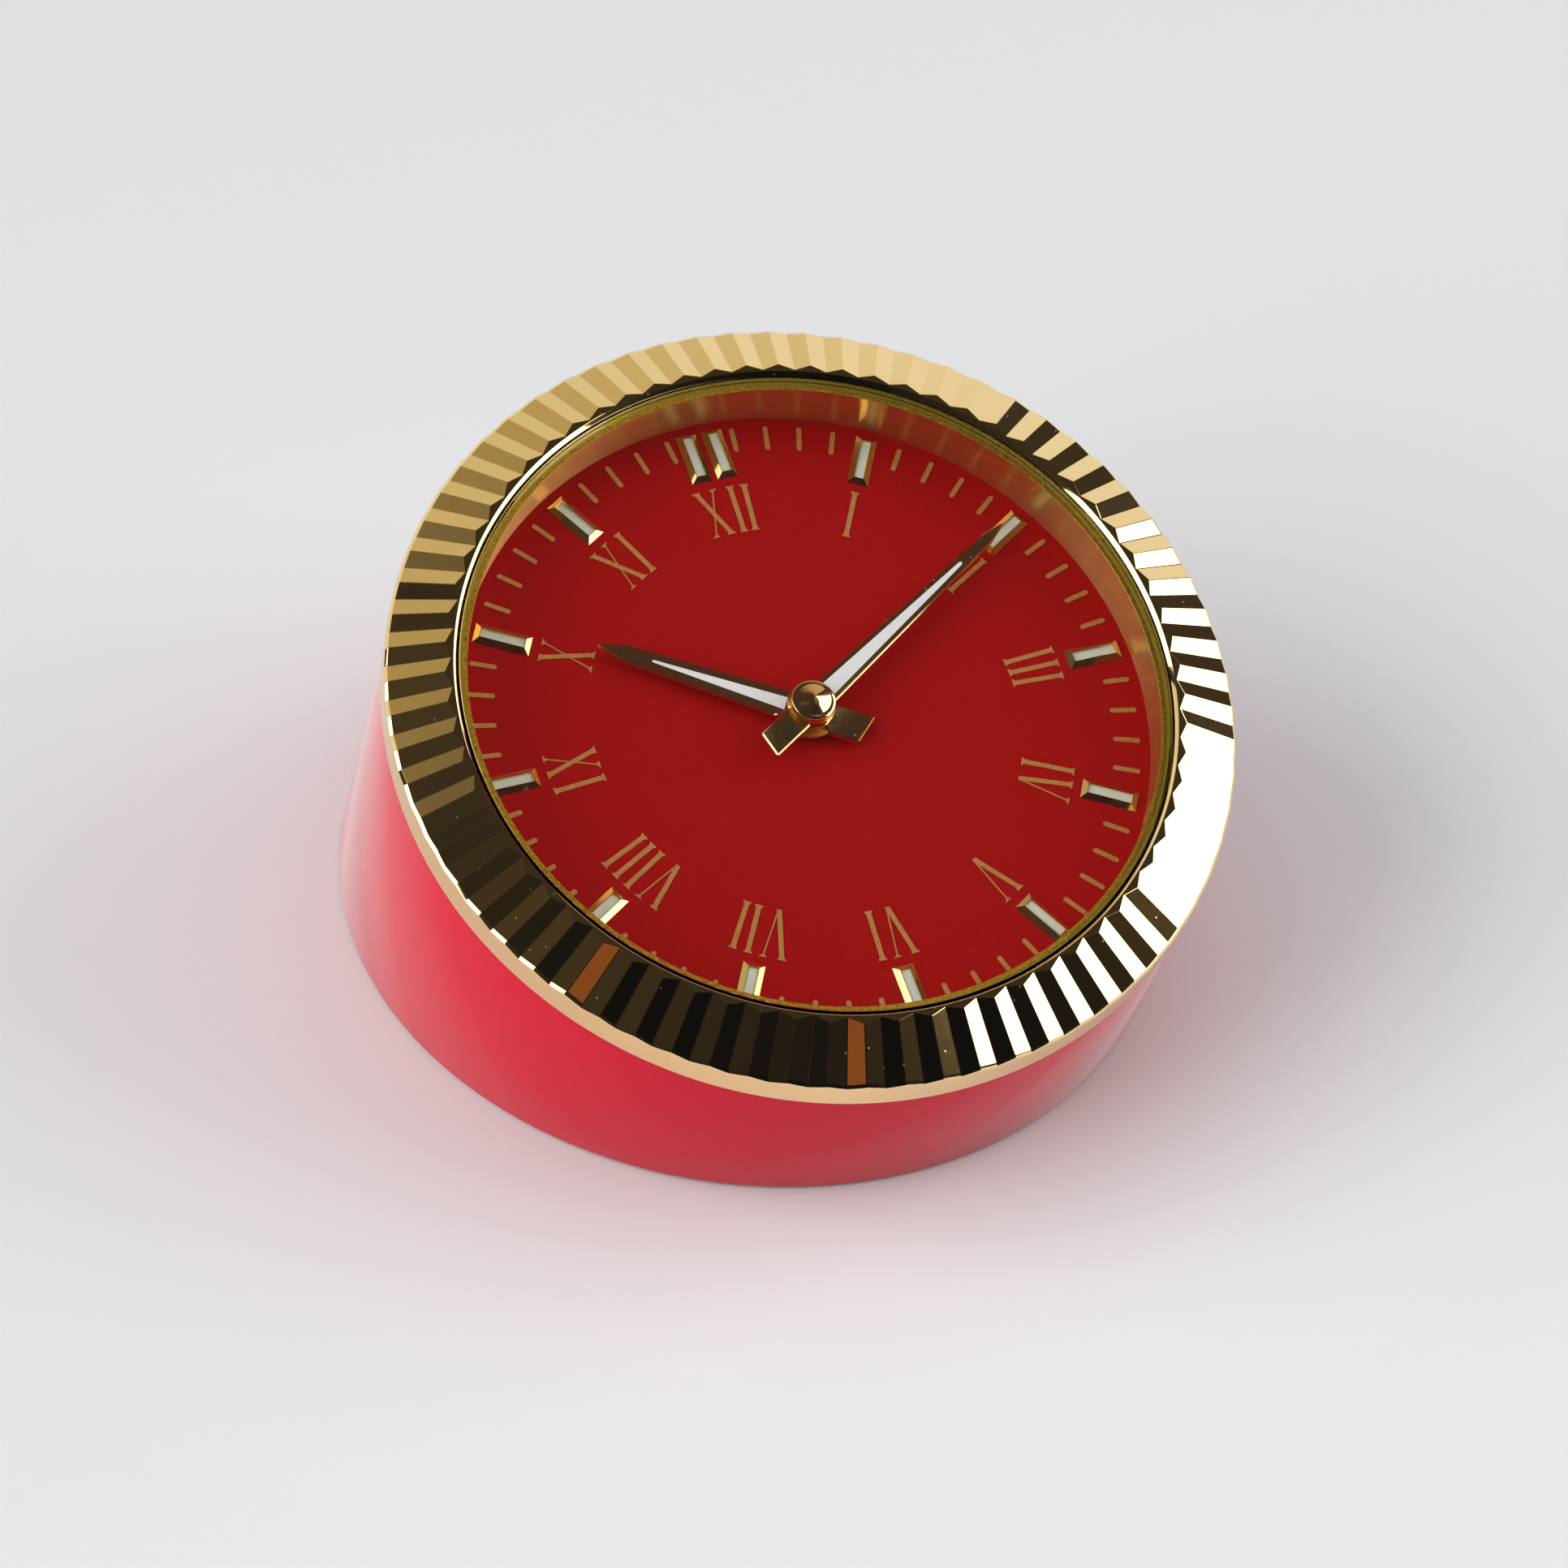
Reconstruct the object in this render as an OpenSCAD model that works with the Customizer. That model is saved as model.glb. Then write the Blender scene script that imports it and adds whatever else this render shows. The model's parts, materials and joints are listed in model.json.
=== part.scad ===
// Desk clock: a red drum on a slanted foot cut, with a fluted gold bezel and a quartz movement inside.
// Lengths in millimetres. X points to 3 o'clock, Y to the back, Z up, and the table is z = 0.

/* [Case] */
// outer radius of the red drum
case_r = 45.7; // [43:0.1:48]
// thickness of the drum's wall
case_wall = 2.2; // [1.8:0.1:2.4]
// angle between the dial and the table
tilt = 20; // [18:0.5:21]
// height of the drum's wall at its lowest side, along the dial's axis and up to the dial's face
front_h = 19.217; // [18.5:0.001:21.5]
// height of the drum's foot edge above the table
foot_gap = 0.4; // [0.3:0.05:0.8]
// height of the drum's front edge in front of the dial's face
case_top = 1.53; // [1.4:0.01:1.7]
// width of the flange that carries the dial
flange_w = 4.2; // [3.8:0.1:4.3]
// thickness of that flange
flange_t = 2; // [1.5:0.1:2.5]

/* [Bezel] */
// how far the bezel stands out past the drum
bezel_over = 0.3; // [0.25:0.05:0.7]
// number of flutes round the bezel
flutes = 70; // [60:2:80]
// height of the flat inner land in front of the dial's face
land_z = 8.26; // [8.2:0.01:8.5]
// length of a flute from the land to the rim
flute_w = 6.79; // [6.6:0.01:6.9]
// fall of a flute's valley towards the rim
flute_fall = 23.9; // [23:0.1:25]
// rise of a flute's side per millimetre of its width
flute_slope = 0.1487; // [0.13:0.0001:0.16]
// width of the flat inner land at a flute's valley
land_w = 0.31; // [0.2:0.01:0.45]
// width of the polished chamfer down to the glass
chamfer_w = 0.46; // [0.3:0.01:0.5]
// depth of that chamfer
chamfer_h = 0.5; // [0.3:0.05:0.7]

/* [Glass and inner ring] */
// room between the bezel's bore and the glass
glass_room = 0.04; // [0.02:0.01:0.1]
// thickness of the glass
glass_t = 1.5; // [1.3:0.05:1.6]
// polished edge of the glass
glass_chamfer = 0.08; // [0.04:0.02:0.12]
// width of the seal under the edge of the glass
seal_w = 0.42; // [0.3:0.02:0.45]
// depth of that seal in the inner ring
seal_t = 0.39; // [0.2:0.01:0.5]
// height of the inner ring, from the dial to the glass
ring_h = 6.42; // [6.2:0.01:6.5]
// width of the inner ring under the glass
ring_top_w = 1; // [0.9:0.05:1.2]
// width of the inner ring at the dial
ring_foot_w = 0.66; // [0.5:0.02:0.8]

/* [Dial] */
// thickness of the dial plate
dial_t = 0.8; // [0.6:0.05:1]
// thickness of the printed marks
print_t = 0.08; // [0.05:0.01:0.12]
// distance of the minute strokes from the inner ring
tick_gap = 1.11; // [0.8:0.01:1.4]
// length of a minute stroke
tick_l = 2.99; // [2.5:0.01:3.3]
// width of a minute stroke
tick_w = 0.55; // [0.4:0.05:0.8]
// distance between the numerals and the minute strokes
numeral_gap = 4.19; // [3.6:0.01:4.8]
// height of the numerals
numeral_h = 5.85; // [5.2:0.05:6.4]
// width of a numeral's thick stroke
thick = 0.53; // [0.4:0.01:0.7]
// width of a numeral's thin stroke
thin = 0.16; // [0.12:0.01:0.3]
// width of a thick stroke's serif
serif_w = 0.92; // [0.8:0.02:1.1]
// width of a thin stroke's serif
thin_serif_w = 0.8; // [0.6:0.02:1]
// height of a serif, flared down to its stroke
serif_h = 0.42; // [0.3:0.02:0.6]

/* [Hour marks] */
// distance of the hour marks from the inner ring
baton_gap = 1.04; // [0.9:0.02:1.4]
// length of an hour mark
baton_l = 6.2; // [5.6:0.1:6.6]
// width of an hour mark
baton_w = 2.38; // [2:0.02:2.6]
// height of an hour mark
baton_h = 0.5; // [0.4:0.05:0.8]
// width of the bevel round an hour mark
baton_bevel = 0.6; // [0.4:0.05:0.7]
// depth of an hour mark's inlay under its frame
inlay_sink = 0.2; // [0.05:0.05:0.25]
// distance of each twin mark at twelve from the middle
twin_x = 1.48; // [1.4:0.02:1.8]

/* [Hands] */
// direction of the hour hand, clockwise from twelve
hour_angle = 303.85; // [0:0.05:360]
// direction of the minute hand, clockwise from twelve
minute_angle = 59.8; // [0:0.05:360]
// thickness of a hand
hand_t = 0.5; // [0.4:0.05:0.6]
// front of the hour hand above the dial
hour_z = 1.56; // [1.5:0.02:1.7]
// front of the minute hand above the dial
minute_z = 3.04; // [3.02:0.02:3.3]
// reach of the hour hand past the feet of the numerals
hour_over = 0.15; // [-2:0.05:2]
// distance of the minute hand's tip from the inner ring
minute_gap = 4.74; // [4.2:0.02:6.5]
// radius of the cap over the hands
cap_r = 2.4; // [2.2:0.05:2.8]
// height of the cap's wall
cap_wall_h = 0.95; // [0.9:0.05:1.2]
// height of the cap's middle
cap_h = 1.7; // [1.6:0.02:2]

/* [Movement] */
// free space between the movement's ears and the flange
ear_gap = 0.5; // [0.3:0.1:1]
// wall of the movement housing
mov_wall = 1.4; // [1.2:0.1:1.6]
// radius of the hour hand's tube
hour_tube_r = 2.1; // [2.08:0.01:2.15]
// wall of the bush round that tube
bush_wall = 0.45; // [0.4:0.05:0.6]
// radius of the minute arbor
arbor_r = 1.7; // [1.5:0.05:1.75]
// free space round a turning shaft
run_gap = 0.05; // [0.03:0.01:0.08]
// radius of the setting knob
knob_r = 7; // [5:0.25:8]

/* [Base] */
// thickness of the plate that closes the foot
base_t = 2.4; // [2:0.1:2.6]
// depth of that plate inside the foot edge
base_recess = 0.6; // [0.5:0.05:0.8]
// free space between the plate and the drum
base_gap = 0.15; // [0.1:0.05:0.3]
// width of the plate round the opening for the battery
opening_rim = 13.5; // [13:0.25:14.5]
// free space round the twist-off cover
cover_gap = 0.3; // [0.2:0.05:0.5]
// angle that the cover turns to unlock
cover_turn = 25; // [25:1:28]
// distance of the rubber foot ring from the opening
foot_out = 3; // [2.5:0.1:4]
// width of the rubber foot ring
foot_w = 3; // [2:0.1:3.5]

/* [Hidden] */
$fn = 96;
red = [0.62, 0.05, 0.09];
dial_red = [0.45, 0.03, 0.04];
gold = [0.85, 0.68, 0.36];
pale = [0.8, 0.8, 0.77];
clear = [0.85, 0.92, 0.9, 0.25];
black = [0.08, 0.08, 0.08];
ivory = [0.88, 0.86, 0.78];
white = [0.92, 0.92, 0.92];
steel = [0.7, 0.7, 0.72];
brass = [0.8, 0.66, 0.36];
copper = [0.72, 0.42, 0.25];
green = [0.1, 0.35, 0.2];
jacket = [0.18, 0.2, 0.24];

// Small clearances and overlaps
over = 1;
touch = 0.01;
slip = 0.02;
seat = 0.1;
thread = 0.2;

// Radii, from the drum inwards
case_bore_r = case_r - case_wall;
flange_r = case_bore_r - flange_w;
bezel_r = case_r + bezel_over;
flute_start_r = bezel_r - flute_w;
land_r = flute_start_r - land_w;
bezel_bore_r = land_r - chamfer_w;
glass_r = bezel_bore_r - glass_room;
ring_rim_r = bezel_bore_r - 2 * slip;
ring_top_r = ring_rim_r - ring_top_w;
ring_foot_r = ring_rim_r - ring_foot_w;
tick_r1 = ring_foot_r - tick_gap;
tick_r0 = tick_r1 - tick_l;
numeral_r1 = tick_r0 - numeral_gap;
numeral_r0 = numeral_r1 - numeral_h;
baton_r1 = ring_foot_r - baton_gap;
baton_r0 = baton_r1 - baton_l;
hour_len = numeral_r0 + hour_over;
minute_len = ring_foot_r - minute_gap;
dial_height = front_h + case_r * tan(tilt);

// Half of a flute's width at the rim
rim_half = bezel_r * tan(180 / flutes);

// Rounded lip of the bezel's rim: steps in from the rim and heights above the dial's face
lip_in = [0, 0.07, 0.22, 0.38];
lip_z = [5.05, 5.42, 5.68, 5.85];

// Front and back ends of the whole part, used to put the origin under its middle
front_edge = -(bezel_r - lip_in[1]) * cos(tilt) - (dial_height + lip_z[1]) * sin(tilt);
back_edge = case_r / cos(tilt);
shift_y = -(front_edge + back_edge) / 2;
far = 3 * case_r;

// The movement's own millimetre: it takes the room inside the flange, and u is 1 at a side of 56
ear_reach_n = 38.8;
u = (flange_r - ear_gap) / ear_reach_n;
mov_w = 56 * u;
mov_d = 16 * u;

// Levels behind and in front of the dial's face
case_low = -dial_height - case_r * tan(tilt) - 5 * over;
carrier_t = 2;
plate_z = -dial_t - carrier_t;
plate_t = 1.2;
work_z = plate_z - plate_t;
mov_back = plate_z - mov_d;
back_in = mov_back + plate_t;
split_z = work_z - 6 * u;
mov_r = 4 * u;
in_w = mov_w - 2 * mov_wall;
bush_r = hour_tube_r + run_gap + bush_wall;
dial_hole_r = hour_tube_r + seat;

// Wheels and their axes
mw_mod = 0.5 * u;
cannon_n = 12;
minute_n = 36;
work_dist = mw_mod * (cannon_n + minute_n) / 2;
reducer_n = 10;
hour_n = 40;
hw_mod = 2 * work_dist / (reducer_n + hour_n);
train_mod = 0.25 * u;
leaf_n = 6;
wheel_n = 72;
centre_n = 75;
train_a = train_mod * (leaf_n + centre_n) / 2;
train_b = train_mod * (leaf_n + wheel_n) / 2;
third_dir = 210;
second_dir = 270;
rotor_dir = -20;
minute_at = [work_dist, 0];
third_at = train_a * [cos(third_dir), sin(third_dir)];
second_at = third_at + train_b * [cos(second_dir), sin(second_dir)];
rotor_at = second_at + train_b * [cos(rotor_dir), sin(rotor_dir)];
work_wheel_t = 0.8 * u;
wheel_t = 0.7 * u;
leaf_t = u;
shaft_r = 0.35;
pivot_r = 0.6;
knob_shaft_r = 1.5 * u;
add_k = 0.75;
ded_k = 1.2;
hour_wheel_z = work_z - 0.3 * u;
cannon_z = work_z - 1.5 * u;
minute_wheel_z = work_z - 1.8 * u;
train_z = work_z - 3.2 * u;
train_t = u;
train_back = train_z - train_t;
pitch_z = 1.4 * u;
centre_z = train_back - 0.4 * u;
third_z = centre_z - pitch_z;
second_z = third_z - pitch_z;
rotor_z = second_z - 1.7 * u;
magnet_r = 3 * u;
magnet_h = 2.2 * u;
stator_z = rotor_z - 0.6 * u;
stator_t = u;
pivot_l = 0.7 * u;
socket_l = 0.9 * u;

// Battery and its bay
battery_d = 14.2 * u;
battery_r = battery_d / 2;
contact_t = 0.4 * u;
battery_l = in_w - contact_t - 2.3 * u;
bay_y0 = 12 * u;
bay_y1 = in_w / 2;
battery_y = (bay_y0 + bay_y1) / 2;
battery_z = work_z - 0.2 * u - battery_r;

// Screws
screw_r = 0.9;
screw_hole_r = 0.95;
screw_head_r = 1.8;
screw_head_h = 1.2;
screw_bite = 0.5;
carrier_screw_in = 2.3;
carrier_screw_r = case_bore_r - carrier_screw_in;
carrier_screw_n = 4;
screw_first = 45;
ear_x = 30.5 * u;
ear_y = 18 * u;
ear_r = 3.4 * u;
post_x = 24.3 * u;
post_low_y = -24.3 * u;
post_high_y = 8.8 * u;
post_r = 2 * u;
post_hole_l = 8 * u;
post_screw_l = 7 * u;
train_posts = u * [[-16, 8], [-19, -20], [18.5, -11.5]];

// Bezel's skirt and the tool that cuts the flutes
skirt_t = 2.36;
flute_spare = 0.25;
flute_run_in = 2;
flute_cut_h = 6;

// Dial and hands
round_fn = 24;
plate_room = 0.3;
inlay_t = 0.2;
hour_tail_long = 6.93;
hour_tail_short = 5.98;
hour_wide = 1.83;
hour_narrow = 1.05;
hour_point = 2.95;
hour_hub_r = 3.1;
hour_inlay_foot = 2.65;
hour_inlay_wide = 0.78;
hour_inlay_narrow = 0.15;
hour_inlay_gap = 6.25;
minute_hub_over = 0.2;
minute_tail_long = 7.44;
minute_tail_short = 6.62;
minute_wide = 1.5;
minute_narrow = 0.65;
minute_point = 2.7;
minute_inlay_wide = 0.87;
minute_inlay_narrow = 0.2;
minute_inlay_gap = 7.6;
cap_round = [0.16, 0.55];
cap_rise = [0.1, 0.14];
arbor_above = 0.7;
hour_tube_above = 0.75;

// Motion work and train
cannon_l = 1.4 * u;
knob_gap = 0.8 * u;
knob_h = 3 * u;
knob_ribs = 30;
knob_rib_h = 0.4;
leaf_up = 1.5 * u;
leaf_over = 0.15 * u;
shaft_below = 1.9 * u;
boss_small_r = 1.5 * u;

// Motor
stator_x1 = 21.5 * u;
coil_x = 18.6 * u;
coil_y0 = -21.4 * u;
coil_y1 = -7.6 * u;
core_w = 2.4 * u;
core_h = 2 * u;
flange_half = 2.9 * u;
coil_flange_t = 0.8 * u;
stator_side = 5.4 * u;
stator_low = 6.4 * u;
stator_inner = 6 * u;
stator_neck = 4 * u;
stator_up = 6.2 * u;
stator_shoulder = 2 * u;
stator_arm = 3 * u;
stator_room = 0.5 * u;
magnet_gap = 0.4 * u;
stator_post = [-2 * u, coil_y0 - 1.2 * u];
stator_post_out = 1.5 * u;
coil_post_r = 1.2 * u;

// Plates, board and contacts
train_x = [-22 * u, 21.8 * u];
train_y = [-23.8 * u, 10.5 * u];
train_head_r = 1.6;
train_head_h = 0.9 * u;
train_bite = 2.4 * u;
bay_wall = u;
board_x0 = -22 * u;
board_x1 = -11.6 * u;
board_y0 = -4.5 * u;
board_y1 = 10 * u;
board_x = -20 * u;
board_posts = [-2 * u, 8 * u];
board_post_r = 1.4 * u;
board_z = back_in + 2 * u;
board_t = u;
chip_at = [-17.5 * u, 3.4 * u];
chip_w = 4.6 * u;
chip_h = 1.2 * u;
can_at = [-18.5 * u, -3.4 * u];
can_r = u;
can_l = 6 * u;
nub_l = 1.3 * u;
nub_r = 2.75 * u;
contact_w = 8 * u;
contact_half = 5 * u;
tongue_w = 6 * u;

// Base
base_z = foot_gap + base_recess;
base_top = base_z + base_t;
opening_r = case_bore_r - opening_rim;
foot_r0 = opening_r + foot_out;
foot_r1 = foot_r0 + foot_w;
base_screw_in = 2.16;
base_screw_dir = 32.15;
base_screw_at = (case_bore_r - base_screw_in) * [cos(base_screw_dir), sin(base_screw_dir)];
boss_r = 3.6;
boss_h = 8;
tab_n = 3;
tab_half = 8;
tab_play = 2;
tab_out = 1.6;
tab_z = base_top + thread;
tab_t = 1.2;
stop_w = 2;
stop_h = 1.5;
rib_in = 1.2;
rib_w = 2.4;
rib_sink = 0.4;
slot_w = 6;
slot_d = 1;
slot_end = 8;

// Placing helpers
module in_row() {
    translate([0, shift_y, 0])
        children();
}

module in_dial() {
    translate([0, shift_y, foot_gap])
        rotate([tilt, 0, 0])
            translate([0, 0, dial_height])
                children();
}

module disc(r, z0, z1) {
    translate([0, 0, z0])
        cylinder(r = r, h = z1 - z0);
}

module ring(r1, r0, z0, z1) {
    difference() {
        disc(r1, z0, z1);
        disc(r0, z0 - over, z1 + over);
    }
}

module at(p) {
    translate([p[0], p[1], 0])
        children();
}

module at_each(places) {
    for (p = places)
        at(p)
            children();
}

module around(n, first = 0) {
    for (i = [0 : n - 1])
        rotate([0, 0, first + i * 360 / n])
            children();
}

module block(x0, x1, y0, y1, z0, z1) {
    translate([x0, y0, z0])
        cube([x1 - x0, y1 - y0, z1 - z0]);
}

module soft_block(w, r, z0, z1) {
    block(-w / 2 + r, w / 2 - r, -w / 2, w / 2, z0, z1);
    block(-w / 2, w / 2, -w / 2 + r, w / 2 - r, z0, z1);
    for (x = [-1, 1], y = [-1, 1])
        at([x * (w / 2 - r), y * (w / 2 - r)])
            disc(r, z0, z1);
}

module above_table(z) {
    intersection() {
        children();
        block(-far, far, -far, far, z, far);
    }
}

// The four places of the ears and of the corner posts
ears = [for (x = [-1, 1], y = [-1, 1]) [x * ear_x, y * ear_y]];
posts = [for (x = [-1, 1], y = [post_low_y, post_high_y]) [x * post_x, y]];

// Gears: teeth with straight sides, thinner than their gaps so that they run freely
function tooth(n, m, a, base, tip) = let (r = m * n / 2, q = 90 / n) [
    [(r - ded_k * m) * cos(a - base * q), (r - ded_k * m) * sin(a - base * q)],
    [(r + add_k * m) * cos(a - tip * q), (r + add_k * m) * sin(a - tip * q)],
    [(r + add_k * m) * cos(a + tip * q), (r + add_k * m) * sin(a + tip * q)],
    [(r - ded_k * m) * cos(a + base * q), (r - ded_k * m) * sin(a + base * q)]
];
function gear_outline(n, m, phase, base, tip) =
    [for (i = [0 : n - 1]) each tooth(n, m, phase + i * 360 / n, base, tip)];
leaf_base = 0.9;
leaf_tip = 0.4;
wheel_base = 1.1;
wheel_tip = 0.4;

module pinion(n, m, z1, h, phase) {
    translate([0, 0, z1 - h])
        linear_extrude(h)
            polygon(gear_outline(n, m, phase, leaf_base, leaf_tip));
}

module wheel(n, m, z1, h, phase) {
    translate([0, 0, z1 - h])
        linear_extrude(h)
            polygon(gear_outline(n, m, phase, wheel_base, wheel_tip));
}

// Case
module base_pillar(x, y) {
    px = base_screw_at[0] - boss_r;
    py = base_screw_at[1];
    intersection() {
        in_dial()
            disc(case_bore_r + case_wall / 2, case_low, case_top);
        in_row()
            block(x > 0 ? px : -far, x > 0 ? far : -px, y * py - boss_r, y * py + boss_r,
                base_top, base_top + boss_h);
    }
}

module base_screw_holes(r, z0, z1) {
    for (x = [-1, 1], y = [-1, 1])
        in_row()
            at([x * base_screw_at[0], y * base_screw_at[1]])
                disc(r, z0, z1);
}

module case_body() {
    flange_z = plate_z - flange_t;
    color(red)
        difference() {
            union() {
                above_table(foot_gap)
                    in_dial()
                        rotate_extrude()
                            polygon([[case_bore_r, case_low], [case_r, case_low], [case_r, case_top],
                                [case_bore_r, case_top], [case_bore_r, plate_z], [flange_r, plate_z],
                                [flange_r, flange_z], [case_bore_r, flange_z]]);
                for (x = [-1, 1], y = [-1, 1])
                    base_pillar(x, y);
            }
            in_dial()
                around(carrier_screw_n, screw_first)
                    at([carrier_screw_r, 0])
                        disc(screw_r + thread, flange_z - over, plate_z + over);
            base_screw_holes(screw_hole_r, base_top - over, base_top + boss_h - over);
        }
}

// Bezel: a turned ring with a skirt inside the drum, cut all round by flutes
module bezel_blank() {
    skirt_r1 = case_bore_r - seat;
    skirt_r0 = skirt_r1 - skirt_t;
    low = case_top;
    rotate_extrude()
        polygon(concat(
            [[bezel_bore_r, low], [skirt_r0, low], [skirt_r0, 0], [skirt_r1, 0], [skirt_r1, low],
                [bezel_r, low]],
            [for (i = [0 : len(lip_in) - 1]) [bezel_r - lip_in[i], lip_z[i]]],
            [[bezel_r - lip_in[len(lip_in) - 1], land_z], [land_r, land_z],
                [bezel_bore_r, land_z - chamfer_h]]));
}

module flute_cut() {
    half = rim_half + flute_spare;
    translate([flute_start_r, 0, land_z])
        rotate([0, flute_fall, 0])
            translate([-flute_run_in, 0, 0])
                rotate([90, 0, 90])
                    linear_extrude(2 * flute_w)
                        polygon([[0, 0], [half, half * flute_slope], [half, flute_cut_h],
                            [-half, flute_cut_h], [-half, half * flute_slope]]);
}

module bezel() {
    color(gold)
        in_dial()
            difference() {
                bezel_blank();
                around(flutes, 90)
                    flute_cut();
            }
}

// Glass, the ring under it and the seal let into that ring under the edge of the glass
module crystal() {
    z0 = ring_h + touch;
    z1 = z0 + glass_t;
    c = glass_chamfer;
    color(clear)
        in_dial()
            rotate_extrude()
                polygon([[0, z0], [glass_r - c, z0], [glass_r, z0 + c], [glass_r, z1 - c],
                    [glass_r - c, z1], [0, z1]]);
}

module crystal_gasket() {
    color(black)
        in_dial()
            ring(ring_rim_r - slip, ring_rim_r - seal_w + slip, ring_h - seal_t + touch, ring_h);
}

module inner_ring() {
    seal_z = ring_h - seal_t;
    color(gold)
        in_dial()
            rotate_extrude()
                polygon([[ring_foot_r, 0], [ring_rim_r, 0], [ring_rim_r, seal_z],
                    [ring_rim_r - seal_w, seal_z], [ring_rim_r - seal_w, ring_h],
                    [ring_top_r, ring_h]]);
}

// Dial
module dial_plate() {
    color(dial_red)
        in_dial()
            ring(case_bore_r - plate_room, dial_hole_r, -dial_t, 0);
}

module tick() {
    hw = tick_w / 2;
    linear_extrude(print_t) {
        translate([-hw, tick_r0 + hw])
            square([tick_w, tick_l - tick_w]);
        translate([0, tick_r0 + hw])
            circle(r = hw, $fn = round_fn);
        translate([0, tick_r1 - hw])
            circle(r = hw, $fn = round_fn);
    }
}

module minute_track() {
    color(gold)
        in_dial()
            for (i = [0 : 59])
                if (i % 5 != 0)
                    rotate([0, 0, -i * 6])
                        tick();
}

// Numerals, each letter set on its own radial line with its feet towards the middle
numerals = ["XII", "I", "II", "III", "IV", "V", "VI", "VII", "VIII", "IX", "X", "XI"];
gap_ii = 0.251 * numeral_h;
gap_v = 0.414 * numeral_h;
gap_x = 0.46 * numeral_h;
half_v = 0.214 * numeral_h;
half_x = 0.251 * numeral_h;
foot_in = 0.15;
numeral_mid = (numeral_r0 + numeral_r1) / 2;
function gap(a, b) = a == "X" || b == "X" ? gap_x : a == "V" || b == "V" ? gap_v : gap_ii;
function half(a) = a == "X" ? half_x : a == "V" ? half_v : serif_w / 2;
function run(s, i) = i == 0 ? 0 : run(s, i - 1) + gap(s[i - 1], s[i]);
function middle(s) = (run(s, len(s) - 1) + half(s[len(s) - 1]) - half(s[0])) / 2;

// A serif flares from the stroke: pairs of its share of height and its share of extra width
flare = [[0, 1], [0.22, 1], [0.5, 0.42], [0.75, 0.13], [1, 0]];
function on_line(x0, x1, y) = x0 + (x1 - x0) * (y - numeral_r0) / numeral_h;
function flared(side, x0, x1, w, sw, y, f) =
    [on_line(x0, x1, y) + side * (w + f * (sw - w)) / 2, y];
function foot_side(side, x0, x1, w, sw) =
    [for (f = flare) flared(side, x0, x1, w, sw, numeral_r0 + f[0] * serif_h, f[1])];
function head_side(side, x0, x1, w, sw) =
    [for (f = flare) flared(side, x0, x1, w, sw, numeral_r1 - f[0] * serif_h, f[1])];
function reversed(list) = [for (i = [len(list) - 1 : -1 : 0]) list[i]];

module stroke(x0, x1, w, sw) {
    polygon(concat(foot_side(1, x0, x1, w, sw), reversed(head_side(1, x0, x1, w, sw)),
        head_side(-1, x0, x1, w, sw), reversed(foot_side(-1, x0, x1, w, sw))));
}

module pointed_stroke(x0, x1, w, sw) {
    polygon(concat([[x0 + w / 2, numeral_r0]], reversed(head_side(1, x0, x1, w, sw)),
        head_side(-1, x0, x1, w, sw), [[x0 - w / 2, numeral_r0]]));
}

module letter(c) {
    v_thick = half_v - serif_w / 4;
    v_thin = half_v - thin_serif_w / 4;
    x_top = half_x - serif_w / 2;
    if (c == "I")
        stroke(0, 0, thick, serif_w);
    if (c == "V") {
        pointed_stroke(0, -v_thick, thick, serif_w);
        pointed_stroke(thin / 2, v_thin, thin, thin_serif_w);
    }
    if (c == "X") {
        stroke(x_top, -x_top, thick, serif_w);
        stroke(foot_in - x_top, x_top, thin, thin_serif_w);
    }
}

module roman_numerals() {
    color(gold)
        in_dial()
            for (h = [0 : 11])
                for (i = [0 : len(numerals[h]) - 1]) {
                    x = run(numerals[h], i) - middle(numerals[h]);
                    rotate([0, 0, -30 * h - x / numeral_mid * 180 / PI])
                        linear_extrude(print_t)
                            letter(numerals[h][i]);
                }
}

// Hour marks: a hipped frame with an inlay sunk in its top
inlay_w = baton_w - 2 * baton_bevel - seat;
inlay_l = baton_l - 2 * baton_bevel - seat;
inlay_z = 0.2 * baton_h;
baton_mid = (baton_r0 + baton_r1) / 2;

module each_baton() {
    for (h = [1 : 11])
        rotate([0, 0, -30 * h])
            translate([0, baton_mid, 0])
                children();
    for (s = [-1, 1])
        translate([s * twin_x, baton_mid, 0])
            children();
}

module hip_profile(half) {
    polygon([[-half, 0], [half, 0], [half, print_t], [half - baton_bevel, baton_h],
        [-half + baton_bevel, baton_h], [-half, print_t]]);
}

module baton_frame() {
    difference() {
        intersection() {
            translate([0, baton_l, 0])
                rotate([90, 0, 0])
                    linear_extrude(2 * baton_l)
                        hip_profile(baton_w / 2);
            translate([-baton_w, 0, 0])
                rotate([90, 0, 90])
                    linear_extrude(2 * baton_w)
                        hip_profile(baton_l / 2);
        }
        block(-inlay_w / 2, inlay_w / 2, -inlay_l / 2, inlay_l / 2, inlay_z, baton_h + over);
    }
}

module baton_frames() {
    color(gold)
        in_dial()
            each_baton()
                baton_frame();
}

module baton_inlays() {
    w = inlay_w / 2 - touch;
    l = inlay_l / 2 - touch;
    color(pale)
        in_dial()
            each_baton()
                block(-w, w, -l, l, inlay_z, baton_h - inlay_sink);
}

// Hands, drawn pointing along +Y
module hour_outline() {
    shoulder = hour_len - hour_point;
    polygon([[0, hour_len], [-hour_narrow, shoulder], [-hour_wide, 0],
        [-hour_wide, -hour_tail_short], [hour_wide, -hour_tail_long], [hour_wide, 0],
        [hour_narrow, shoulder]]);
}

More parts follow.
